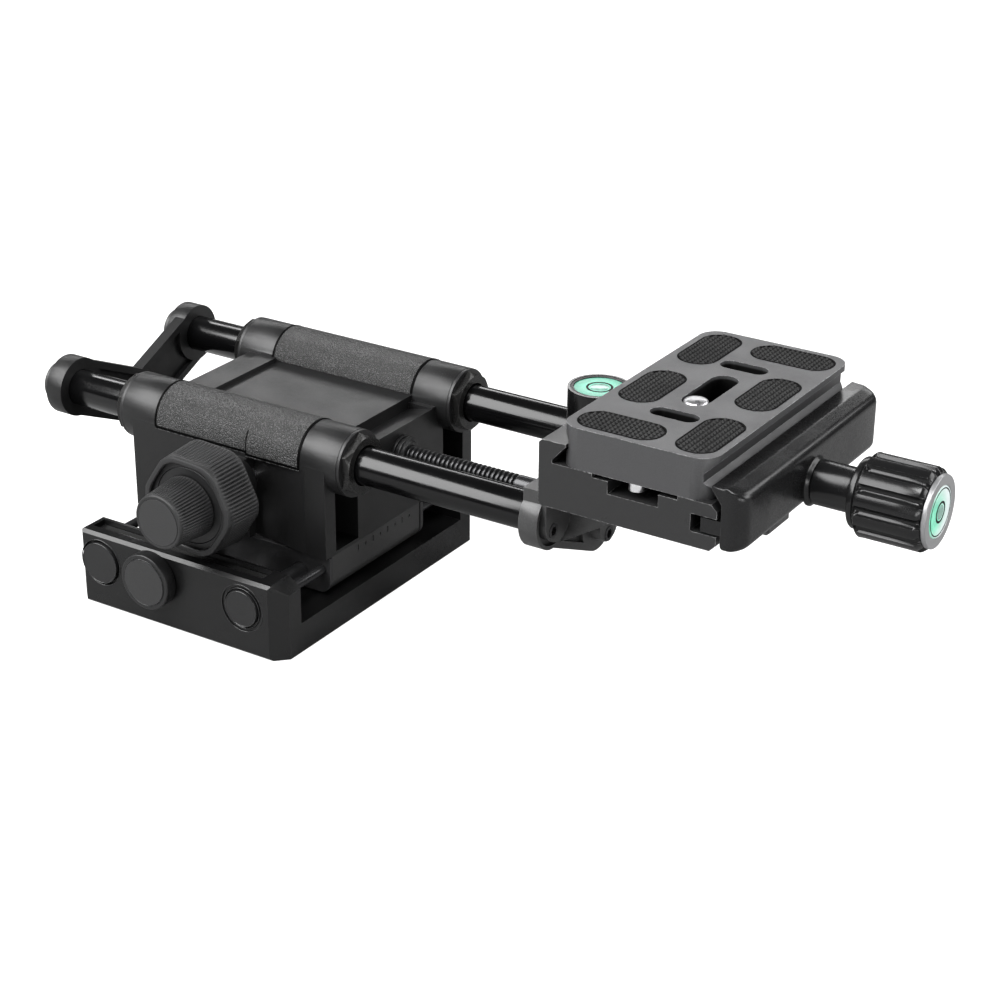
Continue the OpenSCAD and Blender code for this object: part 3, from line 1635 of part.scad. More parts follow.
module knob_vial() {
  x1 = ring_x + end_ring_thickness + vial_proud;
  color("#9fe8bf")
    round_x(ring_x - vial_depth + end_ring_thickness, x1, cy, knob_z, vial_radius);
}

// Pockets or pads for the six rubber pads, pads grown by over
module pad_set(over, z0, z1) {
  x0 = plate_x + pad_margin;
  x1 = plate_x + plate_width - pad_margin;
  y0 = plate_front + pad_margin;
  y1 = plate_rear - pad_margin;
  translate([0, 0, z0])
    linear_extrude(z1 - z0) {
      one_pad(x0, x0 + pad_cross, y0, y0 + pad_width, over);
      one_pad(x1 - pad_cross, x1, y1 - pad_width, y1, over);
      one_pad(x0, x0 + pad_width, cy + pad_outer_y - pad_long / 2, cy + pad_outer_y + pad_long / 2, over);
      one_pad(x1 - pad_width, x1, cy - pad_outer_y - pad_long / 2, cy - pad_outer_y + pad_long / 2,
        over);
      one_pad(x0, x0 + pad_width, cy - pad_inner_y - pad_long / 2, cy - pad_inner_y + pad_long / 2,
        over);
      one_pad(x1 - pad_width, x1, cy + pad_inner_y - pad_long / 2, cy + pad_inner_y + pad_long / 2,
        over);
    }
}

module one_pad(x0, x1, y0, y1, over) {
  round_plan(x0 - over, x1 + over, y0 - over, y1 + over, pad_round + over);
}

// Dovetail plate with slots, pad pockets and a recess for the camera screw
module plate() {
  x1 = plate_x + plate_width;
  g = plate_groove;
  c = plate_chamfer;
  n1 = plate_top - plate_edge - g;
  n0 = n1 - neck_height;
  mid = cy + slot_shift;
  color("#3a3c40")
    difference() {
      intersection() {
        side_profile(plate_front, plate_rear)
          polygon([[plate_x + c, plate_z], [plate_x, plate_z + c], [plate_x, n0 - g],
            [plate_x + g, n0], [plate_x + g, n1], [plate_x, n1 + g], [plate_x, plate_top],
            [x1, plate_top], [x1, n1 + g], [x1 - g, n1], [x1 - g, n0], [x1, n0 - g],
            [x1, plate_z + c], [x1 - c, plate_z]]);
        linear_extrude(plate_top + cut_over)
          round_plan(plate_x, x1, plate_front, plate_rear, plate_round);
      }
      translate([0, 0, plate_z - cut_over])
        linear_extrude(plate_height + 2 * cut_over) {
          round_plan(plate_mid - slot_width / 2, plate_mid + slot_width / 2,
            mid - slot_length / 2, mid + slot_length / 2, slot_width / 2 - seat_gap);
          for (y = [cy - short_slot_offset, cy + short_slot_offset])
            round_plan(plate_mid - short_slot_length / 2, plate_mid + short_slot_length / 2,
              y - short_slot_width / 2, y + short_slot_width / 2,
              short_slot_width / 2 - seat_gap);
        }
      translate([0, 0, plate_z - cut_over])
        linear_extrude(recess_depth + cut_over)
          round_plan(plate_mid - recess_width / 2, plate_mid + recess_width / 2,
            mid - slot_length / 2 - recess_end, mid + slot_length / 2 + recess_end,
            recess_width / 2 - seat_gap);
      pad_set(seat_gap, plate_top - pad_recess, plate_top + cut_over);
      for (y = [plate_front + stop_margin, plate_rear - stop_margin])
        round_z(plate_mid, y, plate_z - cut_over, plate_z + stop_depth, stop_shank + seat_gap);
    }
}

module grip_pads() {
  color("#0f1011")
    pad_set(0, plate_top - pad_recess, plate_top + pad_proud);
}

module stop_screws() {
  color("#c4c6c9")
    for (y = [plate_front + stop_margin, plate_rear - stop_margin]) {
      round_z(plate_mid, y, plate_z - stop_height, plate_z, stop_radius);
      round_z(plate_mid, y, plate_z, plate_z + stop_depth, stop_shank);
    }
}

module screw_retainer() {
  z1 = recess_top - retainer_gap;
  color("#8d8f92")
    difference() {
      round_z(plate_mid, screw_y, z1 - retainer_thickness, z1, screw_head_radius);
      round_z(plate_mid, screw_y, 0, plate_top, stud_thread_radius + running_gap);
    }
}

module camera_screw() {
  z1 = recess_top - retainer_gap - retainer_thickness - retainer_gap;
  z0 = z1 - screw_head_height;
  color("#c4c6c9")
    difference() {
      union() {
        round_z(plate_mid, screw_y, z0, z1, screw_head_radius);
        round_z(plate_mid, screw_y, z1, plate_top + stud_proud, stud_thread_radius);
      }
      box(plate_mid - screw_head_radius - cut_over, plate_mid + screw_head_radius + cut_over,
        screw_y - coin_slot / 2, screw_y + coin_slot / 2, z0 - cut_over, z0 + coin_depth);
      box(plate_mid - stud_thread_radius - cut_over, plate_mid + stud_thread_radius + cut_over,
        screw_y - coin_slot / 3, screw_y + coin_slot / 3, plate_top + stud_proud - coin_depth / 2,
        plate_top + stud_proud + cut_over);
    }
}

base_channel();
wall_strips();
centre_bush();
side_bushes();
cross_rods();
guide_pins();
front_caps();
rear_caps();
cross_screw();
cross_knob();
cross_knob_disc();
slide_block();
wiper_plates();
cross_bushes();
cross_nut();
block_screws();
housing();
front_cover();
rear_cover();
sleeve_bushes();
collar_rings();
collar_nuts();
rack_glands();
drive_shaft();
focus_hub();
focus_grip();
focus_washer();
lock_spindle();
lock_knob();
lock_disc();
lay_pinion();
rods();
rack_bar();
left_bracket();
rod_plugs();
right_bracket();
bracket_screws();
clamp_body();
clamp_bolts();
level_cup();
level_vial();
level_ring();
moving_jaw();
jaw_pins();
clamp_spindle();
clamp_knob();
knob_ring();
knob_vial();
plate();
grip_pads();
stop_screws();
screw_retainer();
camera_screw();
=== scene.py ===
# %% [markdown]
# # A macro focusing rail, dressed in Blender
#
# The real piece is a cross slide on a tripod, with a long two-rod rail on top of it. The rail
# carries a dovetail clamp, and the clamp holds a padded plate for the camera. Nearly every
# surface is black, so the eye reads it by finish alone: glossy rods, satin castings, pebbled
# covers, matt ribbed knobs, and a grey plate with knurled pads.
#
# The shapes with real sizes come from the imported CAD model. This lesson adds what CAD leaves
# plain: broken edges, ribs, knurls, thread, liquid in the levels, and the finish of each surface.

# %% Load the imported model
import json
import math
import bmesh
import bpy
from mathutils import Matrix, Vector


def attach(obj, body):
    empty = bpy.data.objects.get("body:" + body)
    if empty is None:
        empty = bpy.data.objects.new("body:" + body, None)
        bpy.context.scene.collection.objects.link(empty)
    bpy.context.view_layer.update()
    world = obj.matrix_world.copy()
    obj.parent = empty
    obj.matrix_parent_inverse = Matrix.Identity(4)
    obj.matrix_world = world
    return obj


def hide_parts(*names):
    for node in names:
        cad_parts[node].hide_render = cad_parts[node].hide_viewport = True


MM, MICRON = 0.001, 0.000001
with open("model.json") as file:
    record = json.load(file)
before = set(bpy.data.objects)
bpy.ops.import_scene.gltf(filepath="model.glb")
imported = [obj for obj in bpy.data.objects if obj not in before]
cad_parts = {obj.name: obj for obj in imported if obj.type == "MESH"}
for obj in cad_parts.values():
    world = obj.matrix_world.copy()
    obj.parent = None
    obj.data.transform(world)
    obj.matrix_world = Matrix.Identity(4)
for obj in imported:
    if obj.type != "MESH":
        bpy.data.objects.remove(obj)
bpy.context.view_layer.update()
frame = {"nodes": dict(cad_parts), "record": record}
parts = frame["nodes"]

# %% [markdown]
# ## The camera
#
# The photograph was taken from the front right, a little above the rail, with a moderately long
# lens. A camera could be placed by eye, but a few millimetres of error move every edge. The
# values below come from matching known corners of the model to the photograph, so they fix
# the direction, the distance and the lens together.

# %% Place the camera
AIM = Vector((83.1425, -25.3796, 50.0)) * MM
AZIMUTH = math.radians(32.2760)
ELEVATION = math.radians(24.9790)
ROLL = math.radians(0.4960)
DISTANCE = 514.94 * MM
LENS_IN_PIXELS = 2272.73
FRAME_PIXELS = 1000
SENSOR = 36.0
NEAREST_VIEW = 0.01


def camera_axes(azimuth, elevation, roll):
    """Right, up and backward directions of a camera that looks at its aim."""
    back = Vector((math.sin(azimuth) * math.cos(elevation),
                   -math.cos(azimuth) * math.cos(elevation), math.sin(elevation)))
    level = Vector((math.cos(azimuth), math.sin(azimuth), 0))
    upright = back.cross(level)
    right = level * math.cos(roll) + upright * math.sin(roll)
    up = upright * math.cos(roll) - level * math.sin(roll)
    return right, up, back


def link_in(name, data):
    """A new object that holds some data, linked into the scene."""
    item = bpy.data.objects.new(name, data)
    bpy.context.scene.collection.objects.link(item)
    return item


lens_data = bpy.data.cameras.new("photo_lens")
lens_data.sensor_width = SENSOR
lens_data.lens = LENS_IN_PIXELS / FRAME_PIXELS * SENSOR
lens_data.clip_start = NEAREST_VIEW
photo_camera = link_in("photo_camera", lens_data)
right, up, back = camera_axes(AZIMUTH, ELEVATION, ROLL)
turn = Matrix((right, up, back)).transposed().to_4x4()
photo_camera.matrix_world = Matrix.Translation(AIM + back * DISTANCE) @ turn
bpy.context.scene.camera = photo_camera
print("lens", round(lens_data.lens, 2), "mm")

# %% [markdown]
# ## Building with shader nodes
#
# Wiring nodes by hand in a script is long-winded. One small helper places a node, sets its
# options and feeds its inputs, and takes either a plain value or another node's socket. The
# others shorten the steps that come back most: sums, ranges, noise, vectors and colour layers.

# %% Node helpers
def put(tree, kind, feeds=None, **options):
    """Adds a node; feeds maps an input's name or number to a value or a socket."""
    node = tree.nodes.new("ShaderNode" + kind)
    for name, value in options.items():
        setattr(node, name, value)
    for key, value in (feeds or {}).items():
        if isinstance(value, bpy.types.NodeSocket):
            tree.links.new(value, node.inputs[key])
        else:
            node.inputs[key].default_value = value
    return node


def sums(tree, operation, first, second=0.0, clamp=False):
    """One step of arithmetic, with its result socket."""
    node = put(tree, "Math", {0: first, 1: second}, operation=operation, use_clamp=clamp)
    return node.outputs[0]


def spread(tree, value, low, high, to_low=0.0, to_high=1.0):
    """Stretches a range of values onto another range, clamped at both ends."""
    feeds = {"Value": value, "From Min": low, "From Max": high, "To Min": to_low, "To Max": to_high}
    return put(tree, "MapRange", feeds).outputs[0]


def noise(tree, point, scale, detail, roughness=0.5, **options):
    """Noise over a point, as its value socket."""
    feeds = {"Vector": point, "Scale": scale, "Detail": detail, "Roughness": roughness}
    return put(tree, "TexNoise", feeds, **options).outputs[0]


def arrows(tree, operation, first, second=None):
    """One step of arithmetic on vectors, with the node's outputs."""
    feeds = {0: first} if second is None else {0: first, 1: second}
    return put(tree, "VectorMath", feeds, operation=operation).outputs


def layer(tree, mask, under, over):
    """Lays one colour over another where the mask is white."""
    return put(tree, "Mix", {"Factor": mask, 6: under, 7: over}, data_type="RGBA").outputs[2]


def new_group(name, inputs, outputs):
    """An empty group that takes a point and more; returns the group, its start and its end."""
    group = bpy.data.node_groups.new(name, "ShaderNodeTree")
    for label, value in {"Point": (0.0, 0.0, 0.0), **inputs}.items():
        kind = "NodeSocketVector" if isinstance(value, tuple) else "NodeSocketFloat"
        socket = group.interface.new_socket(label, in_out="INPUT", socket_type=kind)
        socket.default_value = value
    for label in outputs:
        group.interface.new_socket(label, in_out="OUTPUT", socket_type="NodeSocketFloat")
    start = group.nodes.new("NodeGroupInput")
    end = group.nodes.new("NodeGroupOutput")
    return group, start.outputs, end.inputs


def count_nodes(group):
    """Says how large a finished group is."""
    print("group", group.name, "has", len(group.nodes), "nodes")


def use(tree, group, point, **feeds):
    """Places a group in a material, feeds it the point and more, and returns its outputs."""
    return put(tree, "Group", {"Point": point, **feeds}, node_tree=group).outputs


print("node helpers are ready")

# %% [markdown]
# ## Fine grain
#
# Anodised and powder-coated metal is never mirror smooth. Under a loupe it has a grain of a
# tenth of a millimetre, and the grain is what spreads a highlight into a soft band. A texture
# image could carry it, but noise in object space has no seams and keeps its size on any part.

# %% Group: fine grain
grain_group, got, give = new_group("Fine grain", {"Size": 0.0002}, ["Height", "Speckle"])
tree = grain_group
fine = noise(tree, got["Point"], sums(tree, "DIVIDE", 1.0, got["Size"]), 3.0, 0.6)
tree.links.new(fine, give["Height"])
tree.links.new(spread(tree, fine, 0.42, 0.66), give["Speckle"])
count_nodes(grain_group)

# %% [markdown]
# ## Handling marks
#
# Parts that are touched carry a faint cloud of finger grease, which changes the gloss and
# hardly the colour. Two sizes of noise multiplied together give patches with a broken rim.

# %% Group: handling marks
smudge_group, got, give = new_group("Handling marks", {"Patch": 0.012, "Amount": 1.0}, ["Mask"])
tree = smudge_group
wide = noise(tree, got["Point"], sums(tree, "DIVIDE", 1.0, got["Patch"]), 2.0)
close = noise(tree, got["Point"], sums(tree, "DIVIDE", 9.0, got["Patch"]), 4.0)
patchy = sums(tree, "MULTIPLY", spread(tree, wide, 0.38, 0.66), spread(tree, close, 0.3, 0.7, 0.4, 1.0))
tree.links.new(sums(tree, "MULTIPLY", patchy, got["Amount"]), give["Mask"])
count_nodes(smudge_group)

# %% [markdown]
# ## Edge wear and painted edge light
#
# Black finishes thin out first along sharp edges, where a bag or a bench rubs them. The Bevel
# node looks at how the surface bends within a small radius. Where its answer differs from the
# true normal there is an edge, and noise breaks that edge into the short scuffs of real use.
# On the plate, the clamp body and the lips the same mask gets a pale colour that also paints
# edge highlights.

# %% Group: edge wear and painted edge light
wear_and_highlight_group, got, give = new_group(
    "Edge wear and painted edge light", {"Radius": 0.0003, "Breakup": 900.0, "Amount": 1.0}, ["Mask"])
tree = wear_and_highlight_group
rounded = put(tree, "Bevel", {"Radius": got["Radius"]}, samples=4).outputs[0]
flat = put(tree, "NewGeometry").outputs["Normal"]
bend = sums(tree, "SUBTRACT", 1.0, arrows(tree, "DOT_PRODUCT", rounded, flat)["Value"])
scuffs = noise(tree, got["Point"], got["Breakup"], 4.0, 0.7)
edge_wear_and_light = sums(tree, "MULTIPLY", spread(tree, bend, 0.01, 0.16), spread(tree, scuffs, 0.42, 0.62))
tree.links.new(sums(tree, "MULTIPLY", edge_wear_and_light, got["Amount"], True), give["Mask"])
count_nodes(wear_and_highlight_group)

# %% [markdown]
# ## Dust
#
# A black object in a studio always shows a few specks on faces that look up. Small bright
# points come from a fine noise cut near its top, and the object's own normal keeps them off
# the sides.

# %% Group: dust
dust_group, got, give = new_group("Dust", {"Size": 0.00022, "Amount": 1.0}, ["Mask"])
tree = dust_group
specks = noise(tree, got["Point"], sums(tree, "DIVIDE", 1.0, got["Size"]), 1.0)
clouds = noise(tree, got["Point"], 70.0, 2.0)
settled = sums(tree, "MULTIPLY", spread(tree, specks, 0.70, 0.78), spread(tree, clouds, 0.45, 0.7))
facing = put(tree, "SeparateXYZ", {0: put(tree, "TexCoord").outputs["Normal"]}).outputs["Z"]
upward = sums(tree, "MULTIPLY", settled, spread(tree, facing, 0.35, 0.95))
tree.links.new(sums(tree, "MULTIPLY", upward, got["Amount"], True), give["Mask"])
count_nodes(dust_group)

# %% [markdown]
# ## Pebbled rubber
#
# The grip covers are moulded in a tool etched with a fine grain of about a third of a
# millimetre, which sparkles like coarse sandpaper. Voronoi cells look too regular at this size.
# A noise stretched to full contrast gives grains of mixed size as a bump, and their crowns are
# painted paler to stand in for the sparkle of light on them.

# %% Group: pebbles
pebble_group, got, give = new_group("Pebbles", {"Size": 0.0005}, ["Height", "Painted glint"])
tree = pebble_group
specks = noise(tree, got["Point"], sums(tree, "DIVIDE", 1.0, got["Size"]), 1.0)
dome = spread(tree, specks, 0.36, 0.68)
tree.links.new(dome, give["Height"])
tree.links.new(spread(tree, dome, 0.4, 0.95), give["Painted glint"])
count_nodes(pebble_group)

# %% [markdown]
# ## Turned marks
#
# A lathe leaves fine rings. The group measures how far a point lies along the turning axis and
# how far out from it, and feeds those two numbers to a two-dimensional noise. The lines then
# run round the part, whichever way it points.

# %% Group: turned marks
lathe_group, got, give = new_group(
    "Turned marks", {"Centre": (0.0, 0.0, 0.0), "Axis": (1.0, 0.0, 0.0), "Pitch": 0.00012}, ["Height"])
tree = lathe_group
arm = arrows(tree, "SUBTRACT", got["Point"], got["Centre"])[0]
along = arrows(tree, "DOT_PRODUCT", arm, got["Axis"])["Value"]
shadow = put(tree, "VectorMath", {0: got["Axis"], "Scale": along}, operation="SCALE").outputs[0]
reach = arrows(tree, "LENGTH", arrows(tree, "SUBTRACT", arm, shadow)[0])["Value"]
place = put(tree, "CombineXYZ", {"X": along, "Y": reach}).outputs[0]
lines = noise(tree, place, sums(tree, "DIVIDE", 1.0, got["Pitch"]), 2.0, noise_dimensions="2D")
tree.links.new(lines, give["Height"])
count_nodes(lathe_group)

# %% [markdown]
# ## Painted depth and glare in a level
#
# The liquid of a bubble level looks darker near its rim, where the wall shades it. Real depth
# needs a clear shell and a coloured inside, which costs many light bounces. A mask that grows
# with the distance from the level's axis paints that shade onto a solid disc. Set off the axis,
# the same mask paints a pale glare across one side of the knob's level.

# %% Group: painted rim shade and glare
painted_rim_light_group, got, give = new_group(
    "Painted rim shade and glare", {"Centre": (0.0, 0.0, 0.0), "Axis": (1.0, 0.0, 0.0), "Inner": 0.003,
                  "Outer": 0.006}, ["Mask"])
tree = painted_rim_light_group
arm = arrows(tree, "SUBTRACT", got["Point"], got["Centre"])[0]
reach = arrows(tree, "LENGTH", arrows(tree, "CROSS_PRODUCT", arm, got["Axis"])[0])["Value"]
tree.links.new(spread(tree, reach, got["Inner"], got["Outer"]), give["Mask"])
count_nodes(painted_rim_light_group)

# %% [markdown]
# ## Painted shade in deep places
#
# Deep slots look black because little light finds its way out of them. This group paints that
# shade into the base colour: a box in object space marks where, and a point is inside when its
# distance from the middle is below the half size along every axis.

# %% Group: painted shade in a box
painted_shade_box_group, got, give = new_group(
    "Painted shade in a box", {"Middle": (0.0, 0.0, 0.0), "Half": (0.01, 0.01, 0.01)}, ["Mask"])
tree = painted_shade_box_group
offset = arrows(tree, "SUBTRACT", got["Point"], got["Middle"])[0]
excess = arrows(tree, "SUBTRACT", arrows(tree, "ABSOLUTE", offset)[0], got["Half"])[0]
axes = put(tree, "SeparateXYZ", {0: excess}).outputs
furthest = sums(tree, "MAXIMUM", sums(tree, "MAXIMUM", axes[0], axes[1]), axes[2])
tree.links.new(spread(tree, furthest, -0.0004, 0.0, 1.0, 0.0), give["Mask"])
count_nodes(painted_shade_box_group)

# %% [markdown]
# ## The finishes
#
# Every finish is the same short recipe with its own values: a base colour that the grain
# varies a little, gloss that handling marks disturb, a bump from the grain, and scuffed edges
# where the metal or the raw plastic shows. Some finishes also carry painted light: shade near a
# level's rim and in deep boxes, a pale glare on the knob's level, paler pebble crowns for sparkle,
# and edges made pale as highlights. Keeping one recipe keeps the blacks related, as they are on a
# real object, while grain size and gloss tell them apart.

# %% The recipe
GRAIN_IN_PEBBLES, GRAIN_IN_RINGS = 0.25, 0.3
TONE_IN_GLOSS = 0.06
DUST_COLOUR = (0.45, 0.44, 0.42, 1.0)


def finish(name, colour, gloss, grain=200, relief=20, variation=0.12, metal=0.0, wear=0.0,
           worn_and_lit_edge=(0.16, 0.16, 0.165), smudges=0.1, dust=0.0, turned=None, pebbles=None, rim=None,
           inside=None, shine=0.5):
    """A Principled material built from the groups above; grain and relief in micrometres."""
    material = bpy.data.materials.new(name)
    material.use_nodes = True
    tree = material.node_tree
    shader = tree.nodes["Principled BSDF"]
    point = put(tree, "TexCoord").outputs["Object"]
    fine = use(tree, grain_group, point, Size=grain * MICRON)
    marks = use(tree, smudge_group, point, Amount=smudges)
    height = fine["Height"]
    tone = fine["Speckle"]
    if pebbles:
        pebbled = use(tree, pebble_group, point, Size=pebbles * MICRON)
        height = sums(tree, "ADD", pebbled["Height"], sums(tree, "MULTIPLY", height, GRAIN_IN_PEBBLES))
        tone = pebbled["Painted glint"]
    if turned:
        centre, axis = turned
        lines = use(tree, lathe_group, point, Centre=centre, Axis=axis)
        height = sums(tree, "ADD", lines["Height"], sums(tree, "MULTIPLY", height, GRAIN_IN_RINGS))
    dark = [c * (1 - variation) for c in colour] + [1.0]
    pale = [c * (1 + variation) for c in colour] + [1.0]
    paint = layer(tree, tone, dark, pale)
    # Painted light near a level's rim: shade on the top level, a pale glare on the knob's level.
    if rim:
        centre, axis, inner, outer, shade = rim
        rim_light_mask = use(tree, painted_rim_light_group, point, Centre=centre, Axis=axis, Inner=inner, Outer=outer)
        paint = layer(tree, rim_light_mask["Mask"], paint, (*shade, 1.0))
    # Edge wear; on the plate, the clamp body and the lips its pale colour also paints edge highlights.
    if wear:
        edge_wear_and_light = use(tree, wear_and_highlight_group, point, Amount=wear)
        paint = layer(tree, edge_wear_and_light["Mask"], paint, (*worn_and_lit_edge, 1.0))
    # Painted shade: darkens the base colour inside a box, where little light gets in.
    if inside:
        middle, half, shade = inside
        deep = use(tree, painted_shade_box_group, point, Middle=middle, Half=half)
        paint = layer(tree, deep["Mask"], paint, (*shade, 1.0))
    if dust:
        settled = use(tree, dust_group, point, Amount=dust)
        paint = layer(tree, settled["Mask"], paint, DUST_COLOUR)
    tree.links.new(paint, shader.inputs["Base Color"])
    shift = sums(tree, "MULTIPLY", sums(tree, "SUBTRACT", tone, 0.5), TONE_IN_GLOSS)
    rough = sums(tree, "ADD", sums(tree, "ADD", marks["Mask"], gloss), shift, True)
    tree.links.new(rough, shader.inputs["Roughness"])
    bump = put(tree, "Bump", {"Height": height, "Distance": relief * MICRON})
    tree.links.new(bump.outputs[0], shader.inputs["Normal"])
    shader.inputs["Metallic"].default_value = metal
    shader.inputs["Specular IOR Level"].default_value = shine
    return material


def grey(level, blue=None):
    """A grey, or a grey whose blue differs a little."""
    return (level, level, level if blue is None else blue)


print("the recipe is ready")

# %% Mix the finishes
RAIL_Y = 11.5
TOP_LEVEL = Vector((87.3, RAIL_Y, 66.0))
KNOB_LEVEL = Vector((173.75, RAIL_Y, 56.0))
# Painted shade: the plate's slots are darkened inside this box.
PLATE_SLOT_SHADE = (Vector((116.3, RAIL_Y, 66.5)) * MM, Vector((9.5, 24.0, 4.6)) * MM, grey(0.004))
CLAMP_AXIS = (KNOB_LEVEL * MM, (1.0, 0.0, 0.0))
# Painted shade: the top level's liquid turns darker towards its rim.
TOP_RIM_SHADE = (TOP_LEVEL * MM, (0.0, 0.0, 1.0), 0.0035, 0.0061, (0.035, 0.20, 0.135))
# Painted glare: an off-centre mask turns the knob level's liquid pale across one side.
KNOB_GLARE = ((KNOB_LEVEL - Vector((0, 3.4, 0))) * MM, (1.0, 0.0, 0.0), 0.0026, 0.0072,
              (0.62, 0.70, 0.69))
finishes = {
    "black_alloy": finish("satin_black_alloy", grey(0.008, 0.0083), 0.30, 160, 10, wear=0.3,
                          worn_and_lit_edge=grey(0.10), dust=0.35),
    "black_composite": finish("moulded_black_composite", grey(0.013, 0.0133), 0.38, 260, 20, wear=0.2,
                              worn_and_lit_edge=grey(0.08), dust=0.35),
    # The large variation paints the pebble crowns paler as painted sparkle.
    "pebbled_cover": finish("pebbled_grip_rubber", grey(0.062), 0.34, 200, 180, 0.6, dust=0.3,
                            pebbles=300),
    "knob_rubber": finish("matt_knob_rubber", grey(0.024, 0.0245), 0.48, 220, 20, wear=0.2,
                          worn_and_lit_edge=grey(0.07), dust=0.3),
    "knob_plastic": finish("satin_knob_plastic", grey(0.018, 0.0185), 0.38, 240, 15, wear=0.2,
                           worn_and_lit_edge=grey(0.09), dust=0.25),
    "gloss_rod": finish("gloss_black_rod", grey(0.004, 0.0043), 0.16, 100, 1, smudges=0.08),
    "rack_steel": finish("blackened_steel", grey(0.06, 0.062), 0.28, 200, 10, metal=0.7, wear=0.5,
                         worn_and_lit_edge=grey(0.25, 0.26)),
    "bright_steel": finish("turned_steel", grey(0.82, 0.83), 0.30, 200, 4, 0.05, 1.0),
    "brass": finish("turned_brass", (0.55, 0.41, 0.19), 0.28, 200, 10, 0.08, 1.0),
    "bearing_plastic": finish("bearing_plastic", grey(0.03, 0.031), 0.42, 240, 20, wear=0.25),
    "clamp_alloy": finish("anodised_clamp_alloy", grey(0.026, 0.0265), 0.27, 140, 10, metal=0.2,
                          wear=0.35, worn_and_lit_edge=grey(0.2), dust=0.2),
    # Edge wear made strong and pale, which also paints the thin bright highlights along the plate's
    # edges.
    "plate_alloy": finish("grey_plate_with_painted_slot_shade_and_edge_light", grey(0.075, 0.077), 0.38, 180, 18, metal=0.3,
                          wear=0.9, worn_and_lit_edge=grey(0.42, 0.43), dust=0.25, inside=PLATE_SLOT_SHADE),
    "pad_rubber": finish("knurled_pad_rubber", grey(0.005, 0.0052), 0.55, 300, 20, wear=0.15,
                         worn_and_lit_edge=grey(0.03), dust=0.2, shine=0.3),
    "silver_ring": finish("satin_silver_ring", grey(0.30, 0.305), 0.36, 200, 6, 0.05, 0.6,
                          turned=CLAMP_AXIS),
    "green_vial": finish("mint_level_liquid", (0.10, 0.36, 0.26), 0.22, 3000, 1, 0.2, smudges=0.02,
                         rim=TOP_RIM_SHADE, shine=0.25),
}
knob_liquid = finish("mint_knob_level", (0.19, 0.64, 0.44), 0.2, 3000, 1, 0.12, smudges=0.02,
                     rim=KNOB_GLARE)
bubble_skin = finish("pale_level_bubble", (0.19, 0.33, 0.28), 0.16, 2000, 1, 0.1, smudges=0.02)
seam_shadow = finish("dark_cover_seam", grey(0.0015), 0.6, 200, 2, shine=0.08)
level_ink = finish("level_marking_ink", (0.003, 0.007, 0.006), 0.35, 200, 2, shine=0.1)
nut_grey = finish("satin_grey_nut", (0.02, 0.0198, 0.0195), 0.26, 180, 10, metal=0.3, wear=0.4,
                  worn_and_lit_edge=grey(0.24, 0.23))
# Glossy lips whose pale worn edges also paint the thin bright line on the cover lips and wall strips.
lip_gloss_lit_edges = finish("glossy_strip_lip_painted_edge_light", grey(0.02), 0.18, 200, 3, wear=0.6, worn_and_lit_edge=grey(0.3))
disc_satin = finish("satin_end_disc", grey(0.034, 0.0345), 0.42, 200, 12, wear=0.25, worn_and_lit_edge=grey(0.12),
                    dust=0.3)
print("finishes:", ", ".join(sorted(finishes)))

# %% [markdown]
# ## Dressing the CAD parts
#
# The CAD parts have true shapes but razor edges, and a razor edge catches no light. A Bevel
# modifier rounds them by 0.1 to 0.6 mm, and its hardened normals keep the faces flat. The
# imported mesh is cut apart where its normals change, so a Weld modifier joins it first.

# %% Give every CAD part its finish and broken edges
EDGE = {"housing": 0.4, "base_channel": 0.3, "slide_block": 0.4, "left_bracket": 0.45,
        "right_bracket": 0.4, "clamp_body": 0.6, "plate": 0.22, "focus_hub": 0.3, "cross_knob": 0.35,
        "front_caps": 0.2, "collar_nuts": 0.12, "level_cup": 0.25, "front_cover": 0.12,
        "rear_cover": 0.12, "knob_ring": 0.25, "rods": 0.5, "rod_plugs": 0.3, "stop_screws": 0.3}
THIN_EDGE = 0.12
EDGE_SEGMENTS = 3
SHARP_FROM = math.radians(28)
JOIN_WITHIN = 1e-6


def soften(part, width):
    """Joins the imported mesh and rounds its sharp edges."""
    weld = part.modifiers.new("join", "WELD")
    weld.merge_threshold = JOIN_WITHIN
    edge = part.modifiers.new("broken_edges", "BEVEL")
    edge.width = width * MM
    edge.segments = EDGE_SEGMENTS
    edge.limit_method = "ANGLE"
    edge.angle_limit = SHARP_FROM
    edge.use_clamp_overlap = True
    edge.harden_normals = True


slot_of = {row["node"]: row["material_slot"] for row in frame["record"]["subparts"]}
knob_gloss = finish("glossy_clamp_knob", grey(0.014, 0.0145), 0.2, 140, 6, metal=0.2, wear=0.3,
                    worn_and_lit_edge=grey(0.16), dust=0.2)
jaw_gloss = finish("semi_gloss_jaw", grey(0.018, 0.0185), 0.25, 140, 2.5, metal=0.3, wear=0.3,
                   worn_and_lit_edge=grey(0.16), dust=0.2)
# Painted light: the right bracket and the rod plugs get a paler copy of the casting's finish, standing in
# for the light on them; the left bracket of the same casting keeps the darker composite.
bracket_casting_painted_lighter = finish("satin_bracket_casting_painted_light", grey(0.07, 0.0705), 0.34, 240, 20, metal=0.3, wear=0.4,
                       worn_and_lit_edge=grey(0.25), dust=0.2)
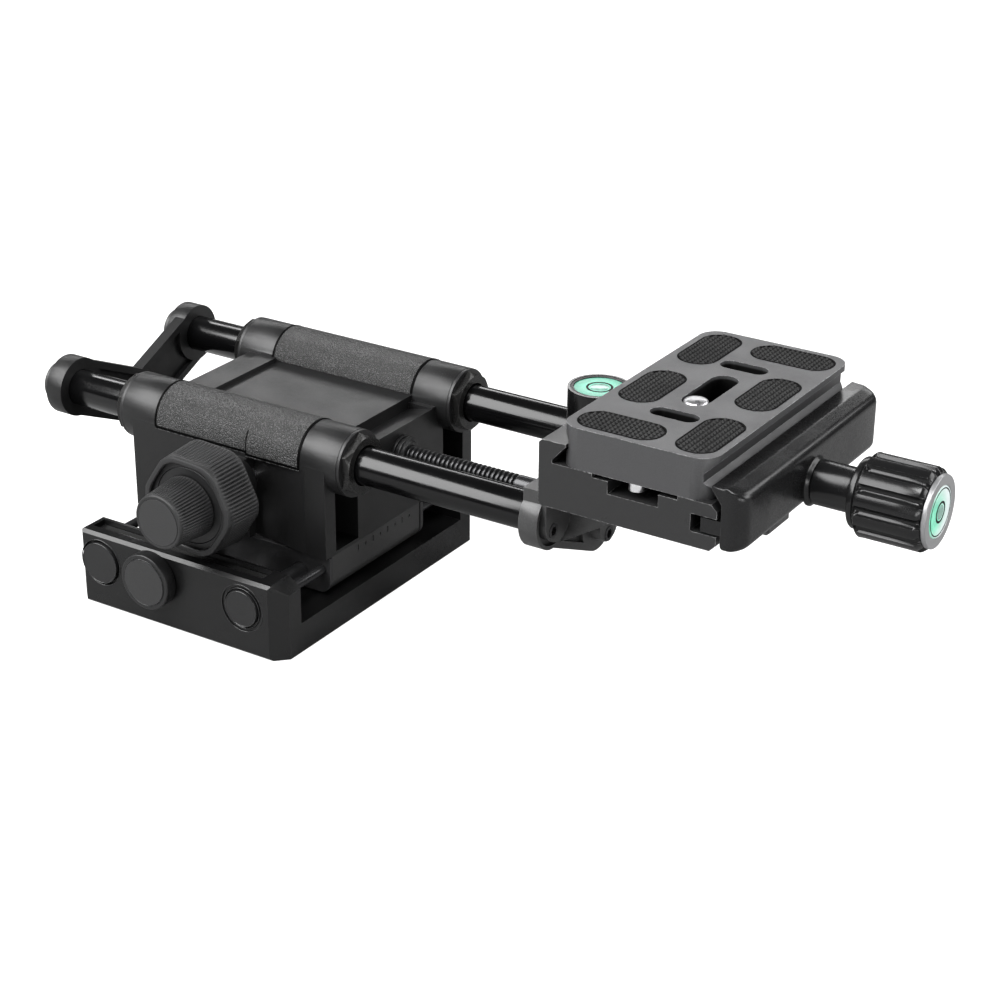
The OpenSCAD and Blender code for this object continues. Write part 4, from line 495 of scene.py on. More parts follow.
# Painted shade: the slide block is darkened in this box under the focus knob.
SHADE_UNDER_KNOB = (Vector((0.0, -36.5, 12.0)) * MM, Vector((40.0, 7.0, 9.0)) * MM, grey(0.002))
block_satin_shaded = finish("satin_slide_block_painted_shade", grey(0.045, 0.0452), 0.38, 260, 20, wear=0.25,
                     worn_and_lit_edge=grey(0.10), inside=SHADE_UNDER_KNOB, shine=0.4)
steel_tip = finish("polished_screw_tip", grey(0.58, 0.59), 0.34, 200, 2, 0.03, 1.0)
cup_gloss = finish("glossy_level_cup", grey(0.005, 0.0052), 0.2, 200, 4, wear=0.3, worn_and_lit_edge=grey(0.12))
# Edge wear pushed pale: it also paints the bright highlight along the clamp body's edges.
clamp_satin_lit_edges = finish("satin_clamp_body_painted_edge_light", grey(0.032, 0.0325), 0.3, 140, 10, metal=0.2, wear=0.9,
                     worn_and_lit_edge=grey(0.38), dust=0.2)
own_finish = {"right_bracket": bracket_casting_painted_lighter, "rod_plugs": bracket_casting_painted_lighter, "slide_block": block_satin_shaded,
              "level_cup": cup_gloss, "clamp_body": clamp_satin_lit_edges, "collar_nuts": nut_grey,
              "wall_strips": lip_gloss_lit_edges, "lock_disc": disc_satin, "cross_knob_disc": disc_satin,
              "cross_rods": finishes["rack_steel"], "guide_pins": finishes["rack_steel"]}
for name, part in parts.items():
    part.data.materials.clear()
    part.data.materials.append(own_finish.get(name, finishes[slot_of[name]]))
    soften(part, EDGE.get(name, THIN_EDGE))
print("dressed", len(parts), "CAD parts")

# %% [markdown]
# ## Making new pieces
#
# Ribs, knurls and threads are real relief that a picture on a flat surface can't fake at the
# outline, so they are built as meshes. Most are rings: a list of closed loops round an axis,
# joined by quads. One helper turns any such list into a piece that rides on its body.

# %% Mesh helpers
def new_mesh(name, points, faces):
    """A mesh from points in millimetres, with its faces turned outward."""
    mesh = bpy.data.meshes.new(name)
    mesh.from_pydata([Vector(p) * MM for p in points], [], faces)
    mesh.validate()
    shaper = bmesh.new()
    shaper.from_mesh(mesh)
    bmesh.ops.recalc_face_normals(shaper, faces=shaper.faces)
    shaper.to_mesh(mesh)
    shaper.free()
    return mesh


def smooth_by_angle(mesh, degrees):
    """Smooth shading that keeps the edges sharper than an angle."""
    mesh.shade_smooth()
    mesh.set_sharp_from_angle(angle=math.radians(degrees))


def make_piece(name, points, faces, body, slot_name, stands_for=None, material=None, smooth=35):
    """A mesh piece in millimetres, finished, smoothed by angle and riding on its body."""
    mesh = new_mesh(name, points, faces)
    piece = link_in(name, mesh)
    smooth_by_angle(mesh, smooth)
    mesh.materials.append(material or finishes[slot_name])
    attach(piece, body)
    if stands_for:
        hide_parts(stands_for)
    return piece


def join_loops(count, steps, closed=True):
    """Quads between neighbouring loops of equal length; an open row gets a cap at each end."""
    faces = []
    for ring in range(count if closed else count - 1):
        a = ring * steps
        b = (ring + 1) % count * steps
        for i in range(steps):
            j = (i + 1) % steps
            faces.append((a + i, a + j, b + j, b + i))
    if not closed:
        faces.append(tuple(range(steps)))
        faces.append(tuple(range((count - 1) * steps, count * steps)))
    return faces


def loops_round(origin, axis, rows, steps):
    """Loops of points round an axis; a row holds a radius, or its formula by angle, and a height."""
    points = []
    for radius, height in rows:
        for i in range(steps):
            angle = 2 * math.pi * i / steps
            r = radius(angle) if callable(radius) else radius
            u, v = r * math.cos(angle), r * math.sin(angle)
            offset = {"x": (height, u, v), "y": (u, height, v), "z": (u, v, height)}[axis]
            points.append([a + b for a, b in zip(origin, offset)])
    return points


def turned(name, origin, axis, rows, body, slot_name, ring=False, steps=96, **options):
    """A piece swept round an axis; a ring's profile closes on itself."""
    points = loops_round(origin, axis, rows, steps)
    return make_piece(name, points, join_loops(len(rows), steps, ring), body, slot_name, **options)


print("mesh helpers are ready")

# %% [markdown]
# ## The focus knob's grip
#
# The grip is a rubber ring with six rounded sides, finely ribbed for wet fingers, and a smooth
# lip round its sunk face. Modelling a hexagon and rounding it leaves no control over the ribs.
# Here every loop is written as radius against angle: a hexagon blended into a circle, less a
# small wave for the ribs.

# %% Build the ribbed grip
GRIP_X, GRIP_Z = 4.6, 34.5
GRIP_REAR, GRIP_FRONT = -31.2, -42.4
GRIP_TURN = math.radians(-4)
GRIP_BORE = 9.93
GRIP_CORNER, GRIP_LIMIT = 14.0, 12.9
CORNER_FLARE, LIMIT_FLARE = 0.6, 0.7
FACE_CORNER, FACE_LIMIT, FACE_SUNK = 12.3, 11.3, 1.2
GRIP_RIBS, GRIP_RIB_DEPTH = 84, 0.42
RIB_ROWS = 9
RIB_ROUNDNESS = 0.7
STEPS_PER_RIB = 8
SIXTH = math.pi / 3
# Share of the length, inset and distance from the end for each row of the two smooth lips.
GRIP_BACK = [(1.0, 0.35, 0.0), (1.0, 0.1, 0.12), (0.98, 0.0, 0.4)]
GRIP_NOSE = [(0.11, 0.0, 1.1), (0.05, 0.0, 0.5), (0.0, 0.12, 0.15), (0.0, 0.4, 0.0)]


def rounded_hexagon(angle, corner, limit, blend=0.5):
    """Radius of a six-sided outline whose corners stop at a limit."""
    turn_back = (angle - GRIP_TURN) % SIXTH - SIXTH / 2
    side = corner * math.cos(SIXTH / 2) / math.cos(turn_back)
    gap = max(blend - abs(side - limit), 0.0) / blend
    return min(side, limit) - gap * gap * blend / 4


def rib(angle, count, depth):
    """How far a point between two ribs lies below their tops."""
    return depth * (1 - abs(math.sin(angle * count / 2)) ** RIB_ROUNDNESS)


def ribbed_rows(outline, rear, front, first, last, back, nose):
    """Rows of a knob: a rear lip, ribs from a first to a last share of the length, a front lip."""
    rows = [(outline(share, inset), rear - away) for share, inset, away in back]
    for k in range(RIB_ROWS):
        share = first + (last - first) * k / (RIB_ROWS - 1)
        fade = min(1.0, k + 0.4, RIB_ROWS - 0.6 - k)
        rows.append((outline(share, 0.0, fade), front + share * (rear - front)))
    return rows + [(outline(share, inset), front + away) for share, inset, away in nose]


def grip_outline(share, inset=0.0, ribbed=0.0):
    """Radius by angle at a share of the grip's length."""
    corner = GRIP_CORNER + CORNER_FLARE * share
    limit = GRIP_LIMIT + LIMIT_FLARE * share
    return lambda angle: (rounded_hexagon(angle, corner, limit) - inset
                          - ribbed * rib(angle, GRIP_RIBS, GRIP_RIB_DEPTH))


def sunk_face(inset):
    """Radius by angle of the smooth sunk face."""
    return lambda angle: rounded_hexagon(angle, FACE_CORNER, FACE_LIMIT) - inset


grip_rows = [(GRIP_BORE, GRIP_REAR)]
grip_rows += ribbed_rows(grip_outline, GRIP_REAR, GRIP_FRONT, 0.94, 0.15, GRIP_BACK, GRIP_NOSE)
grip_rows += [(sunk_face(-0.25), GRIP_FRONT), (sunk_face(0.0), GRIP_FRONT + 0.2),
              (sunk_face(0.05), GRIP_FRONT + FACE_SUNK), (GRIP_BORE, GRIP_FRONT + FACE_SUNK)]
grip_piece = turned("ribbed_focus_grip", (GRIP_X, 0, GRIP_Z), "y", grip_rows, "focus_drive",
                    "knob_rubber", ring=True, steps=GRIP_RIBS * STEPS_PER_RIB, stands_for="focus_grip")
print("grip faces:", len(grip_piece.data.polygons))

# %% [markdown]
# ## The lock knob
#
# In the middle of the focus knob sits a small tapered knob that locks the drive. It is ribbed
# like a bottle top. The same loops serve, with a cone for the radius and coarser ribs.

# %% Build the ribbed lock knob
LOCK_RIBS, LOCK_RIB_DEPTH = 58, 0.4
LOCK_TIP_RADIUS, LOCK_SPREAD = 6.95, 0.95
LOCK_REAR, LOCK_FRONT = -41.4, -52.8
LOCK_BORE, LOCK_SEAT, LOCK_SUNK = 1.53, 5.93, 0.6
LOCK_BACK = [(1.0, 0.45, 0.0), (1.0, 0.12, 0.15), (0.97, 0.0, 0.4)]
LOCK_NOSE = [(0.05, 0.05, 0.5), (0.03, 0.12, 0.25), (0.0, 0.3, 0.03)]


def lock_outline(share, inset=0.0, ribbed=0.0):
    """Radius by angle at a share of the lock knob's length."""
    radius = LOCK_TIP_RADIUS + LOCK_SPREAD * share
    return lambda angle: radius - inset - ribbed * rib(angle, LOCK_RIBS, LOCK_RIB_DEPTH)


lock_rows = [(LOCK_BORE, LOCK_REAR)]
lock_rows += ribbed_rows(lock_outline, LOCK_REAR, LOCK_FRONT, 0.93, 0.10, LOCK_BACK, LOCK_NOSE)
lock_rows += [(6.3, LOCK_FRONT), (LOCK_SEAT, LOCK_FRONT + 0.12), (LOCK_SEAT, LOCK_FRONT + LOCK_SUNK),
              (LOCK_BORE, LOCK_FRONT + LOCK_SUNK)]
lock_piece = turned("ribbed_lock_knob", (GRIP_X, 0, GRIP_Z), "y", lock_rows, "lock", "knob_rubber",
                    ring=True, steps=LOCK_RIBS * STEPS_PER_RIB, stands_for="lock_knob")
print("lock knob faces:", len(lock_piece.data.polygons))

# %% [markdown]
# ## The camera pads
#
# Six rubber pads keep the camera from twisting. Each is a flat tongue with rounded corners,
# covered in rows of small blunt pyramids, inside a thin dark groove. A bump map would look right
# from above but leaves a smooth outline at a low angle, so every pyramid is modelled, and one is
# left out where it would cross the rim.

# %% Build the knurled pads
PLATE_TOP = 71.7
PAD_FLOOR, PAD_BED, PAD_TOP = 71.1, 71.6, 72.1
PAD_RADIUS = 4.5
PAD_PITCH = 1.3
PAD_ARC = 10
TOOTH_BASE, TOOTH_TIP, TOOTH_MARGIN = 0.5, 0.14, 0.3
# Each pad's ends along X and Y, then the inset and height of each loop of a pad and of its groove.
PADS = [(99.3, 119.7, -22.1, -12.5), (112.9, 133.3, 35.5, 45.1), (99.3, 108.9, 24.2, 44.8),
        (123.7, 133.3, -21.8, -1.2), (99.3, 108.9, -3.8, 16.8), (123.7, 133.3, 6.2, 26.8)]
PAD_LOOPS = [(0.0, PAD_FLOOR), (0.0, PAD_FLOOR + 0.1), (0.3, PAD_FLOOR + 0.15), (0.35, PAD_BED)]
GROOVE_LOOPS = [(-0.3, PLATE_TOP - 0.4), (-0.3, PLATE_TOP + 0.02), (0.2, PLATE_TOP + 0.02),
                (0.2, PLATE_TOP - 0.4)]


def pad_loops(pad, loops):
    """Loops of points round a pad's rounded rectangle."""
    x0, x1, y0, y1 = pad
    points = []
    for inset, z in loops:
        r = PAD_RADIUS - inset
        for quarter, (cx, cy) in enumerate(((x1, y1), (x0, y1), (x0, y0), (x1, y0))):
            mx = cx - math.copysign(PAD_RADIUS, cx - (x0 + x1) / 2)
            my = cy - math.copysign(PAD_RADIUS, cy - (y0 + y1) / 2)
            for i in range(PAD_ARC + 1):
                angle = (quarter + i / PAD_ARC) * math.pi / 2
                points.append((mx + r * math.cos(angle), my + r * math.sin(angle), z))
    return points


def inside_pad(x, y, pad, margin):
    """True where a point lies inside the rounded outline by a margin."""
    x0, x1, y0, y1 = pad
    dx = max(x0 + PAD_RADIUS - x, x - x1 + PAD_RADIUS, 0.0)
    dy = max(y0 + PAD_RADIUS - y, y - y1 + PAD_RADIUS, 0.0)
    return math.hypot(dx, dy) <= PAD_RADIUS - margin


def add_on(points, faces, more_points, more_faces):
    """Adds one more closed form to a list of points and a list of faces."""
    start = len(points)
    points += more_points
    faces += [tuple(start + i for i in face) for face in more_faces]


def build_pad(number, pad):
    """One pad with its pyramids, and its groove."""
    x0, x1, y0, y1 = pad
    steps = 4 * (PAD_ARC + 1)
    points = pad_loops(pad, PAD_LOOPS)
    faces = join_loops(len(PAD_LOOPS), steps, False)
    across = round((x1 - x0) / PAD_PITCH)
    down = round((y1 - y0) / PAD_PITCH)
    for i in range(across):
        for j in range(down):
            x = x0 + (i + 0.5) * (x1 - x0) / across
            y = y0 + (j + 0.5) * (y1 - y0) / down
            if inside_pad(x, y, pad, TOOTH_MARGIN):
                tooth = [(x + sx * half, y + sy * half, z)
                         for half, z in ((TOOTH_BASE, PAD_BED - 0.02), (TOOTH_TIP, PAD_TOP))
                         for sx, sy in ((1, 1), (-1, 1), (-1, -1), (1, -1))]
                add_on(points, faces, tooth, join_loops(2, 4, False))
    make_piece("pad_groove_%d" % number, pad_loops(pad, GROOVE_LOOPS), join_loops(4, steps),
               "camera_plate", "pad_rubber", material=seam_shadow)
    return make_piece("knurled_pad_%d" % number, points, faces, "camera_plate", "pad_rubber", "grip_pads")


pads = [build_pad(i + 1, pad) for i, pad in enumerate(PADS)]
print("pads:", len(pads), "faces:", sum(len(p.data.polygons) for p in pads))

# %% [markdown]
# ## Cutting with a Boolean
#
# A driver slot or a cross bore can't be part of a swept shape, so it is cut afterwards. The
# Boolean modifier does that. Its result is kept as a plain mesh, which leaves no cutter behind
# in the scene.

# %% Helpers that cut
def cut_away(piece, block):
    """Removes a closed mesh from a piece and keeps the result as a plain mesh."""
    cutter = link_in("cutter", block)
    cut = piece.modifiers.new("slot", "BOOLEAN")
    cut.operation = "DIFFERENCE"
    cut.object = cutter
    bpy.context.view_layer.update()
    graph = bpy.context.evaluated_depsgraph_get()
    carved = bpy.data.meshes.new_from_object(piece.evaluated_get(graph))
    piece.modifiers.clear()
    piece.data = carved
    bpy.data.objects.remove(cutter)


def carve(piece, corner, size, turn_about, angle):
    """Cuts a box, turned about a vertical line, out of a piece."""
    block = bpy.data.meshes.new("cutter")
    shaper = bmesh.new()
    bmesh.ops.create_cube(shaper, size=1.0)
    for vert in shaper.verts:
        share = vert.co + Vector((0.5, 0.5, 0.5))
        vert.co = (Vector(corner) + Vector(a * b for a, b in zip(share, size))) * MM
    shaper.to_mesh(block)
    shaper.free()
    pivot = Matrix.Translation(Vector(turn_about) * MM)
    block.transform(pivot @ Matrix.Rotation(angle, 4, "Z") @ pivot.inverted())
    cut_away(piece, block)


print("cutting helpers are ready")

# %% [markdown]
# ## The camera screw
#
# Only its bright domed tip shows in the long slot, with a driver slot across it and the last
# turns of a thread. The thread is a sleeve whose radius rises and falls once per pitch, shifted
# a little at each step round, which winds it into a helix.

# %% Build the threaded camera screw
SCREW_X, SCREW_Y = 116.3, 4.65
HEAD_FLOOR, HEAD_TOP, HEAD_RADIUS, HEAD_EDGE = 63.39, 65.99, 6.4, 0.3
THREAD_RADIUS, THREAD_DEPTH, THREAD_PITCH = 3.17, 0.42, 1.27
THREAD_ROOT = THREAD_RADIUS - THREAD_DEPTH
THREAD_START, THREAD_END = 66.8, 70.7
ROWS_PER_PITCH = 10
TIP_TOP = 72.1
# Radius and distance from the top for each row of the domed tip.
TIP_DOME = [(2.9, 1.25), (2.95, 0.85), (2.8, 0.55), (2.45, 0.3), (1.9, 0.13), (1.2, 0.03), (0.5, 0.0)]
DRIVER_HALF, COIN_HALF = 0.45, 0.8
DRIVER_TURN = math.radians(-52)


def thread(turns, fade):
    """Radius by angle of one row of the thread, some turns up the helix."""
    return lambda angle: (THREAD_ROOT + THREAD_DEPTH * fade
                          * (0.5 + 0.5 * math.cos(2 * math.pi * turns - angle)))


count = int((THREAD_END - THREAD_START) / THREAD_PITCH * ROWS_PER_PITCH)
screw_rows = [(HEAD_RADIUS - HEAD_EDGE, HEAD_FLOOR), (HEAD_RADIUS, HEAD_FLOOR + HEAD_EDGE),
              (HEAD_RADIUS, HEAD_TOP - HEAD_EDGE), (HEAD_RADIUS - HEAD_EDGE, HEAD_TOP),
              (THREAD_ROOT, HEAD_TOP), (THREAD_ROOT, THREAD_START - 0.1)]
for k in range(count + 1):
    turns = k / ROWS_PER_PITCH
    fade = min(1.0, turns, (count - k) / 3)
    screw_rows.append((thread(turns, fade), THREAD_START + turns * THREAD_PITCH))
screw_rows += [(radius, TIP_TOP - drop) for radius, drop in TIP_DOME]
camera_screw_piece = turned("threaded_camera_screw", (SCREW_X, SCREW_Y, 0), "z", screw_rows,
                            "camera_bolt", "bright_steel", steps=72, stands_for="camera_screw",
                            material=steel_tip)
carve(camera_screw_piece, (SCREW_X + 1.0, SCREW_Y - DRIVER_HALF, TIP_TOP - 1.1),
      (4, 2 * DRIVER_HALF, 2), (SCREW_X, SCREW_Y, 0), DRIVER_TURN)
carve(camera_screw_piece, (SCREW_X - 8, SCREW_Y - COIN_HALF, HEAD_FLOOR - 1), (16, 2 * COIN_HALF, 2.2),
      (SCREW_X, SCREW_Y, 0), 0.0)
smooth_by_angle(camera_screw_piece.data, 35)
print("camera screw faces:", len(camera_screw_piece.data.polygons))

# %% [markdown]
# ## Marks and bubbles of the levels
#
# Each round level has a black circle printed on its window and a bubble that sits inside it. Both
# are thin relief on the window, so they hold their shape from every side.

# %% Build the marks and bubbles
MARK_HALF, MARK_SUNK, MARK_PROUD = 0.27, -0.05, 0.03
BUBBLE_DOME = [(1.0, -0.05), (1.0, 0.01), (0.93, 0.06), (0.75, 0.11), (0.4, 0.15), (0.1, 0.16)]


def printed_circle(name, origin, axis, body, inner, outer, proud=MARK_PROUD):
    """A thin black ring on a window."""
    section = [(inner, MARK_SUNK), (inner, proud), (outer, proud), (outer, MARK_SUNK)]
    turned(name, origin, axis, section, body, "green_vial", ring=True, material=level_ink)


def build_level(name, origin, axis, body, mark_radius, bubble_radius):
    """The circle and the bubble of one level."""
    printed_circle(name + "_mark", origin, axis, body, mark_radius - MARK_HALF, mark_radius + MARK_HALF)
    dome = [(bubble_radius * share, height) for share, height in BUBBLE_DOME]
    turned(name + "_bubble", origin, axis, dome, body, "green_vial", material=bubble_skin)


build_level("top_level", TOP_LEVEL, "z", "rail", 2.95, 2.2)
turned("knob_level_window", KNOB_LEVEL, "x", [(6.1, -3.0), (6.1, -0.2), (5.9, 0.0)], "clamp_screw",
       "green_vial", stands_for="knob_vial", material=knob_liquid)
build_level("knob_level", KNOB_LEVEL, "x", "clamp_screw", 2.3, 1.7)
printed_circle("knob_level_outer_line", KNOB_LEVEL, "x", "clamp_screw", 5.35, 5.62, 0.04)
print("levels marked")

# %% [markdown]
# ## Seams round the covers
#
# Each grip cover is let into its tube, and the joint shows as a thin black line. The CAD parts
# meet with a gap that is too fine to catch the eye, so the line is laid on as a very thin dark
# strip. A strip needs a path, the direction that points away from the tube and its width.

# %% Lay the seam lines
TUBE_Z = 42.2
TUBE_RADIUS = 8.64
TUBE_Y = {"front": (-1, -12.44), "rear": (1, 35.44)}
COVER_HALF = 22.4
DECK_Z = 44.3
# The two lengths of a cover's lower edge: left end, right end and height.
SEAM_X = 6.1
LOWER_EDGE = [(-COVER_HALF, SEAM_X, 41.7), (SEAM_X, COVER_HALF, 40.9)]
LINE_HALF, LINE_PROUD, LINE_SUNK = 0.3, 0.06, 0.2
LIP_HALF, LIP_PROUD, LIP_TURN = 0.1, 0.12, 0.055
ARC_STEPS = 40


def strip(points, faces, path, half=LINE_HALF, proud=LINE_PROUD):
    """Adds one closed thin strip; path rows hold a place, an outward and a sideways direction."""
    section = ((-half, -LINE_SUNK), (half, -LINE_SUNK), (half, proud), (-half, proud))
    more = [Vector(place) + Vector(outward) * h + Vector(side) * w
            for place, outward, side in path for w, h in section]
    add_on(points, faces, more, join_loops(len(path), len(section), False))


def angle_at(z):
    """How far down the tube's side a height lies."""
    return math.acos((z - TUBE_Z) / TUBE_RADIUS)


def seam_lines(name):
    """The outline of one cover and the glossy lip below it."""
    side, middle_y = TUBE_Y[name]

    def on_tube(angle, x, across):
        outward = (0, side * math.sin(angle), math.cos(angle))
        place = (x, middle_y + TUBE_RADIUS * outward[1], TUBE_Z + TUBE_RADIUS * outward[2])
        along = (1, 0, 0) if across else (0, side * math.cos(angle), -math.sin(angle))
        return place, outward, along

    inner = -angle_at(DECK_Z)
    points, faces, lip_points, lip_faces = [], [], [], []
    for x, edge_z in ((LOWER_EDGE[0][0], LOWER_EDGE[0][2]), LOWER_EDGE[1][1:]):
        outer = angle_at(edge_z)
        angles = [inner + (outer - inner) * k / ARC_STEPS for k in range(ARC_STEPS + 1)]
        strip(points, faces, [on_tube(a, x, True) for a in angles])
    for x0, x1, edge_z in LOWER_EDGE:
        outer = angle_at(edge_z)
        strip(points, faces, [on_tube(outer, x, False) for x in (x0, x1)])
        strip(lip_points, lip_faces, [on_tube(outer + LIP_TURN, x, False) for x in (x0, x1)],
              LIP_HALF, LIP_PROUD)
    # The lip's finish paints its edges pale as a highlight line.
    make_piece(name + "_cover_lip", lip_points, lip_faces, "carriage", "black_composite",
               material=lip_gloss_lit_edges)
    make_piece(name + "_cover_seam", points, faces, "carriage", "pebbled_cover", material=seam_shadow)


for name in TUBE_Y:
    seam_lines(name)
print("covers outlined:", ", ".join(TUBE_Y))

# %% [markdown]
# ## The rack
#
# The rack is a thin round bar with rings cut round it, so that it works at any turn. Its teeth
# glitter because each has a narrow flat top beside a deep dark gap. They are turned here with a
# finer pitch than the plain CAD rings, as the photograph shows them.

# %% Turn the rack
RACK_RADIUS, RACK_ROOT, RACK_TIP = 2.49, 1.75, 2.45
RACK_X0, RACK_X1, RACK_END = -57.5, 87.3, 0.15
RACK_CORE = 0.05
RACK_Z = 35.3
TEETH_FROM, TEETH_TO, TOOTH_PITCH = -49.0, 66.8, 4 / 3
# Radius and place along the pitch for the rows of one tooth and its gap.
TOOTH_ROWS = [(RACK_TIP, 0.0), (RACK_ROOT, 0.24), (RACK_ROOT, 0.62), (RACK_TIP, 0.86),
              (RACK_RADIUS, 0.94), (RACK_RADIUS, TOOTH_PITCH - 0.08)]
tooth_count = int((TEETH_TO - TEETH_FROM) / TOOTH_PITCH)
rack_rows = [(RACK_CORE, RACK_X0), (RACK_RADIUS - RACK_END, RACK_X0), (RACK_RADIUS, RACK_X0 + RACK_END)]
for tooth in range(tooth_count):
    start = TEETH_FROM + tooth * TOOTH_PITCH
    rack_rows += [(radius, start + along) for radius, along in TOOTH_ROWS]
rack_rows += [(RACK_RADIUS, RACK_X1 - RACK_END), (RACK_RADIUS - RACK_END, RACK_X1), (RACK_CORE, RACK_X1)]
turned("toothed_rack", (0, RAIL_Y, RACK_Z), "x", rack_rows, "rail", "rack_steel", steps=40,
       stands_for="rack_bar")
print("rack teeth:", tooth_count)

# %% [markdown]
# ## Small rims on the base
#
# The end caps are stepped, and each step has a rolled rim that catches the light from above. The
# soft strips let into the two walls have a glossy lip along their edge; the lip takes the paler
# plate finish, which paints the thin bright line it shows. A rim is a thin ring with a round
# section, and a lip is the same section drawn out straight.

# %% Build the rims and lips
SECTION_STEPS = 10
LEFT_CAP, RIGHT_CAP, CROSS_KNOB = (-23.5, 12.3), (21.2, 12.3), (-6.5, 12.9)
CAP_FACE, CAP_STEP, CROSS_FACE = -43.72, -43.2, -46.74
# Each rim's name, body, middle in X and Z, place along Y, radius and thickness.
RIMS = [("left_cap_rim", "base", LEFT_CAP, CAP_FACE, 5.3, 0.17),
        ("left_cap_edge", "base", LEFT_CAP, CAP_STEP, 6.15, 0.13),
        ("right_cap_rim", "base", RIGHT_CAP, CAP_FACE, 4.58, 0.17),
        ("right_cap_step", "base", RIGHT_CAP, CAP_STEP, 5.25, 0.14),
        ("right_cap_edge", "base", RIGHT_CAP, CAP_STEP, 6.2, 0.12),
        ("cross_knob_line", "cross_drive", CROSS_KNOB, CROSS_FACE, 6.15, 0.1)]
STRIP_X0, STRIP_X1, STRIP_TOP = -28.0, 25.0, 18.78
STRIP_LIPS_PAINTED_LIGHT = [("front_strip_lip", -39.75), ("rear_strip_lip", 39.75)]
STRIP_LIP_RADIUS = 0.12


def round_section(radius):
    """Points of a small round section as pairs."""
    angles = [2 * math.pi * k / SECTION_STEPS for k in range(SECTION_STEPS)]
    return [(radius * math.cos(a), radius * math.sin(a)) for a in angles]


rim_gloss = finish("rolled_rim_gloss", grey(0.02, 0.0205), 0.2, 200, 3, wear=0.3)
for name, body, (x, z), y, radius, wire in RIMS:
    section = [(radius + across, y + along) for across, along in round_section(wire)]
    turned(name, (x, 0, z), "y", section, body, "knob_plastic", ring=True, material=rim_gloss)
# The lips take the paler plate finish, which paints the thin bright line along each strip.
for name, y in STRIP_LIPS_PAINTED_LIGHT:
    points = [(x, y + across, STRIP_TOP + up)
              for x in (STRIP_X0, STRIP_X1) for across, up in round_section(STRIP_LIP_RADIUS)]
    make_piece(name, points, join_loops(2, SECTION_STEPS, False), "base", "knob_rubber",
               material=finishes["plate_alloy"])
print("rims:", len(RIMS), "lips:", len(STRIP_LIPS_PAINTED_LIGHT))

# %% [markdown]
# ## The moving jaw
#
# The jaw is a bar with a hooked lip, and every outer edge is rolled over generously. Its section
# is drawn once with rounded corners and copied along the bar. Near each end the copies draw in,
# which rounds the plan and the end face together. A boss and two tongues are separate pieces.

# %% Build the rounded jaw
JAW_FRONT, JAW_REAR = -24.1, 47.1
JAW_BACK, JAW_FACE = 138.0, 143.6
JAW_PLAN_ROUND, JAW_END_ROUND = 4.0, 0.7
JAW_BORE = 3.05
LIP_REACH = 2.4
# Place in X and Z and radius of each corner of the section, and a point well inside it.
JAW_CORNERS = [(135.6, 66.3, 0.25), (135.6, 65.6, 0.2), (138.0, 62.6, 0.8), (138.0, 51.6, 1.1),
               (143.6, 51.6, 2.4), (143.6, 65.06, 2.4), (139.45, 66.3, 2.5)]
JAW_INNER = Vector((139.6, 58.5))
END_STEPS = 6
PLAN_DEPTHS = (1.3, 1.8, 2.4, 3.1, 4.0)
# Extra loops between the ends keep the faces round the bore short, which the shading needs.
EXTRA_LOOPS = (-10.0, 0.0, 7.6, 15.4, 23.0, 33.0)
CORNER_STEPS = 7
MOST_OF_SIDE = 0.38
DRILL_STEPS = 96


def rounded_corner(before, corner, after, radius):
    """Points of an arc that rounds one corner, with one more point on each straight beside it."""
    a, b, c = Vector(before), Vector(corner), Vector(after)
    to_a, to_c = (a - b).normalized(), (c - b).normalized()
    half = to_a.angle(to_c) / 2
    reach = min(radius / math.tan(half), (a - b).length * MOST_OF_SIDE,
                (c - b).length * MOST_OF_SIDE)
    radius = reach * math.tan(half)
    middle = b + (to_a + to_c).normalized() * (radius / math.sin(half))
    start, end = b + to_a * reach - middle, b + to_c * reach - middle
    beside = min(0.15, reach * 0.3)
    arc = [b + to_a * (reach + beside)]
    for k in range(CORNER_STEPS + 1):
        share = k / CORNER_STEPS
        arc.append(middle + (start * (1 - share) + end * share).normalized() * radius)
    arc.append(b + to_c * (reach + beside))
    return arc


def drawn_in(p, inset, limit):
    """A point of the section moved inward by an inset, and kept behind a limit in X."""
    toward = JAW_INNER - p
    most = inset * max(0.0, min(1.0, (p.x - JAW_BACK + LIP_REACH) / LIP_REACH))
    q = p + Vector((max(-most, min(most, toward.x * 0.3)), max(-most, min(most, toward.y))))
    if q.x > JAW_BACK:
        q.x = JAW_BACK + (q.x - JAW_BACK) / (JAW_FACE - JAW_BACK) * (limit - JAW_BACK)
    return q


section = []
for i, (x, z, radius) in enumerate(JAW_CORNERS):
    section += rounded_corner(JAW_CORNERS[i - 1][:2], (x, z),
                              JAW_CORNERS[(i + 1) % len(JAW_CORNERS)][:2], radius)
swings = [k / END_STEPS * math.pi / 2 for k in range(END_STEPS + 1)]
stations = [(JAW_END_ROUND * (1 - math.sin(a)), JAW_END_ROUND * (1 - math.cos(a))) for a in swings]
stations += [(0.0, depth) for depth in PLAN_DEPTHS]
ends = []
for inset, depth in stations:
    gap = max(JAW_PLAN_ROUND - depth, 0.0)
    limit = JAW_FACE - JAW_PLAN_ROUND + math.sqrt(JAW_PLAN_ROUND ** 2 - gap ** 2)
    ends.append((depth, [drawn_in(p, inset, limit) for p in section]))
slices = [(JAW_FRONT + depth, loop) for depth, loop in ends]
slices += [(y, ends[-1][1]) for y in EXTRA_LOOPS]
slices += [(JAW_REAR - depth, loop) for depth, loop in reversed(ends)]
bar = make_piece("rounded_jaw_bar", [(q.x, y, q.y) for y, loop in slices for q in loop],
                 join_loops(len(slices), len(section), False), "jaw", "clamp_alloy", "moving_jaw",
                 jaw_gloss)
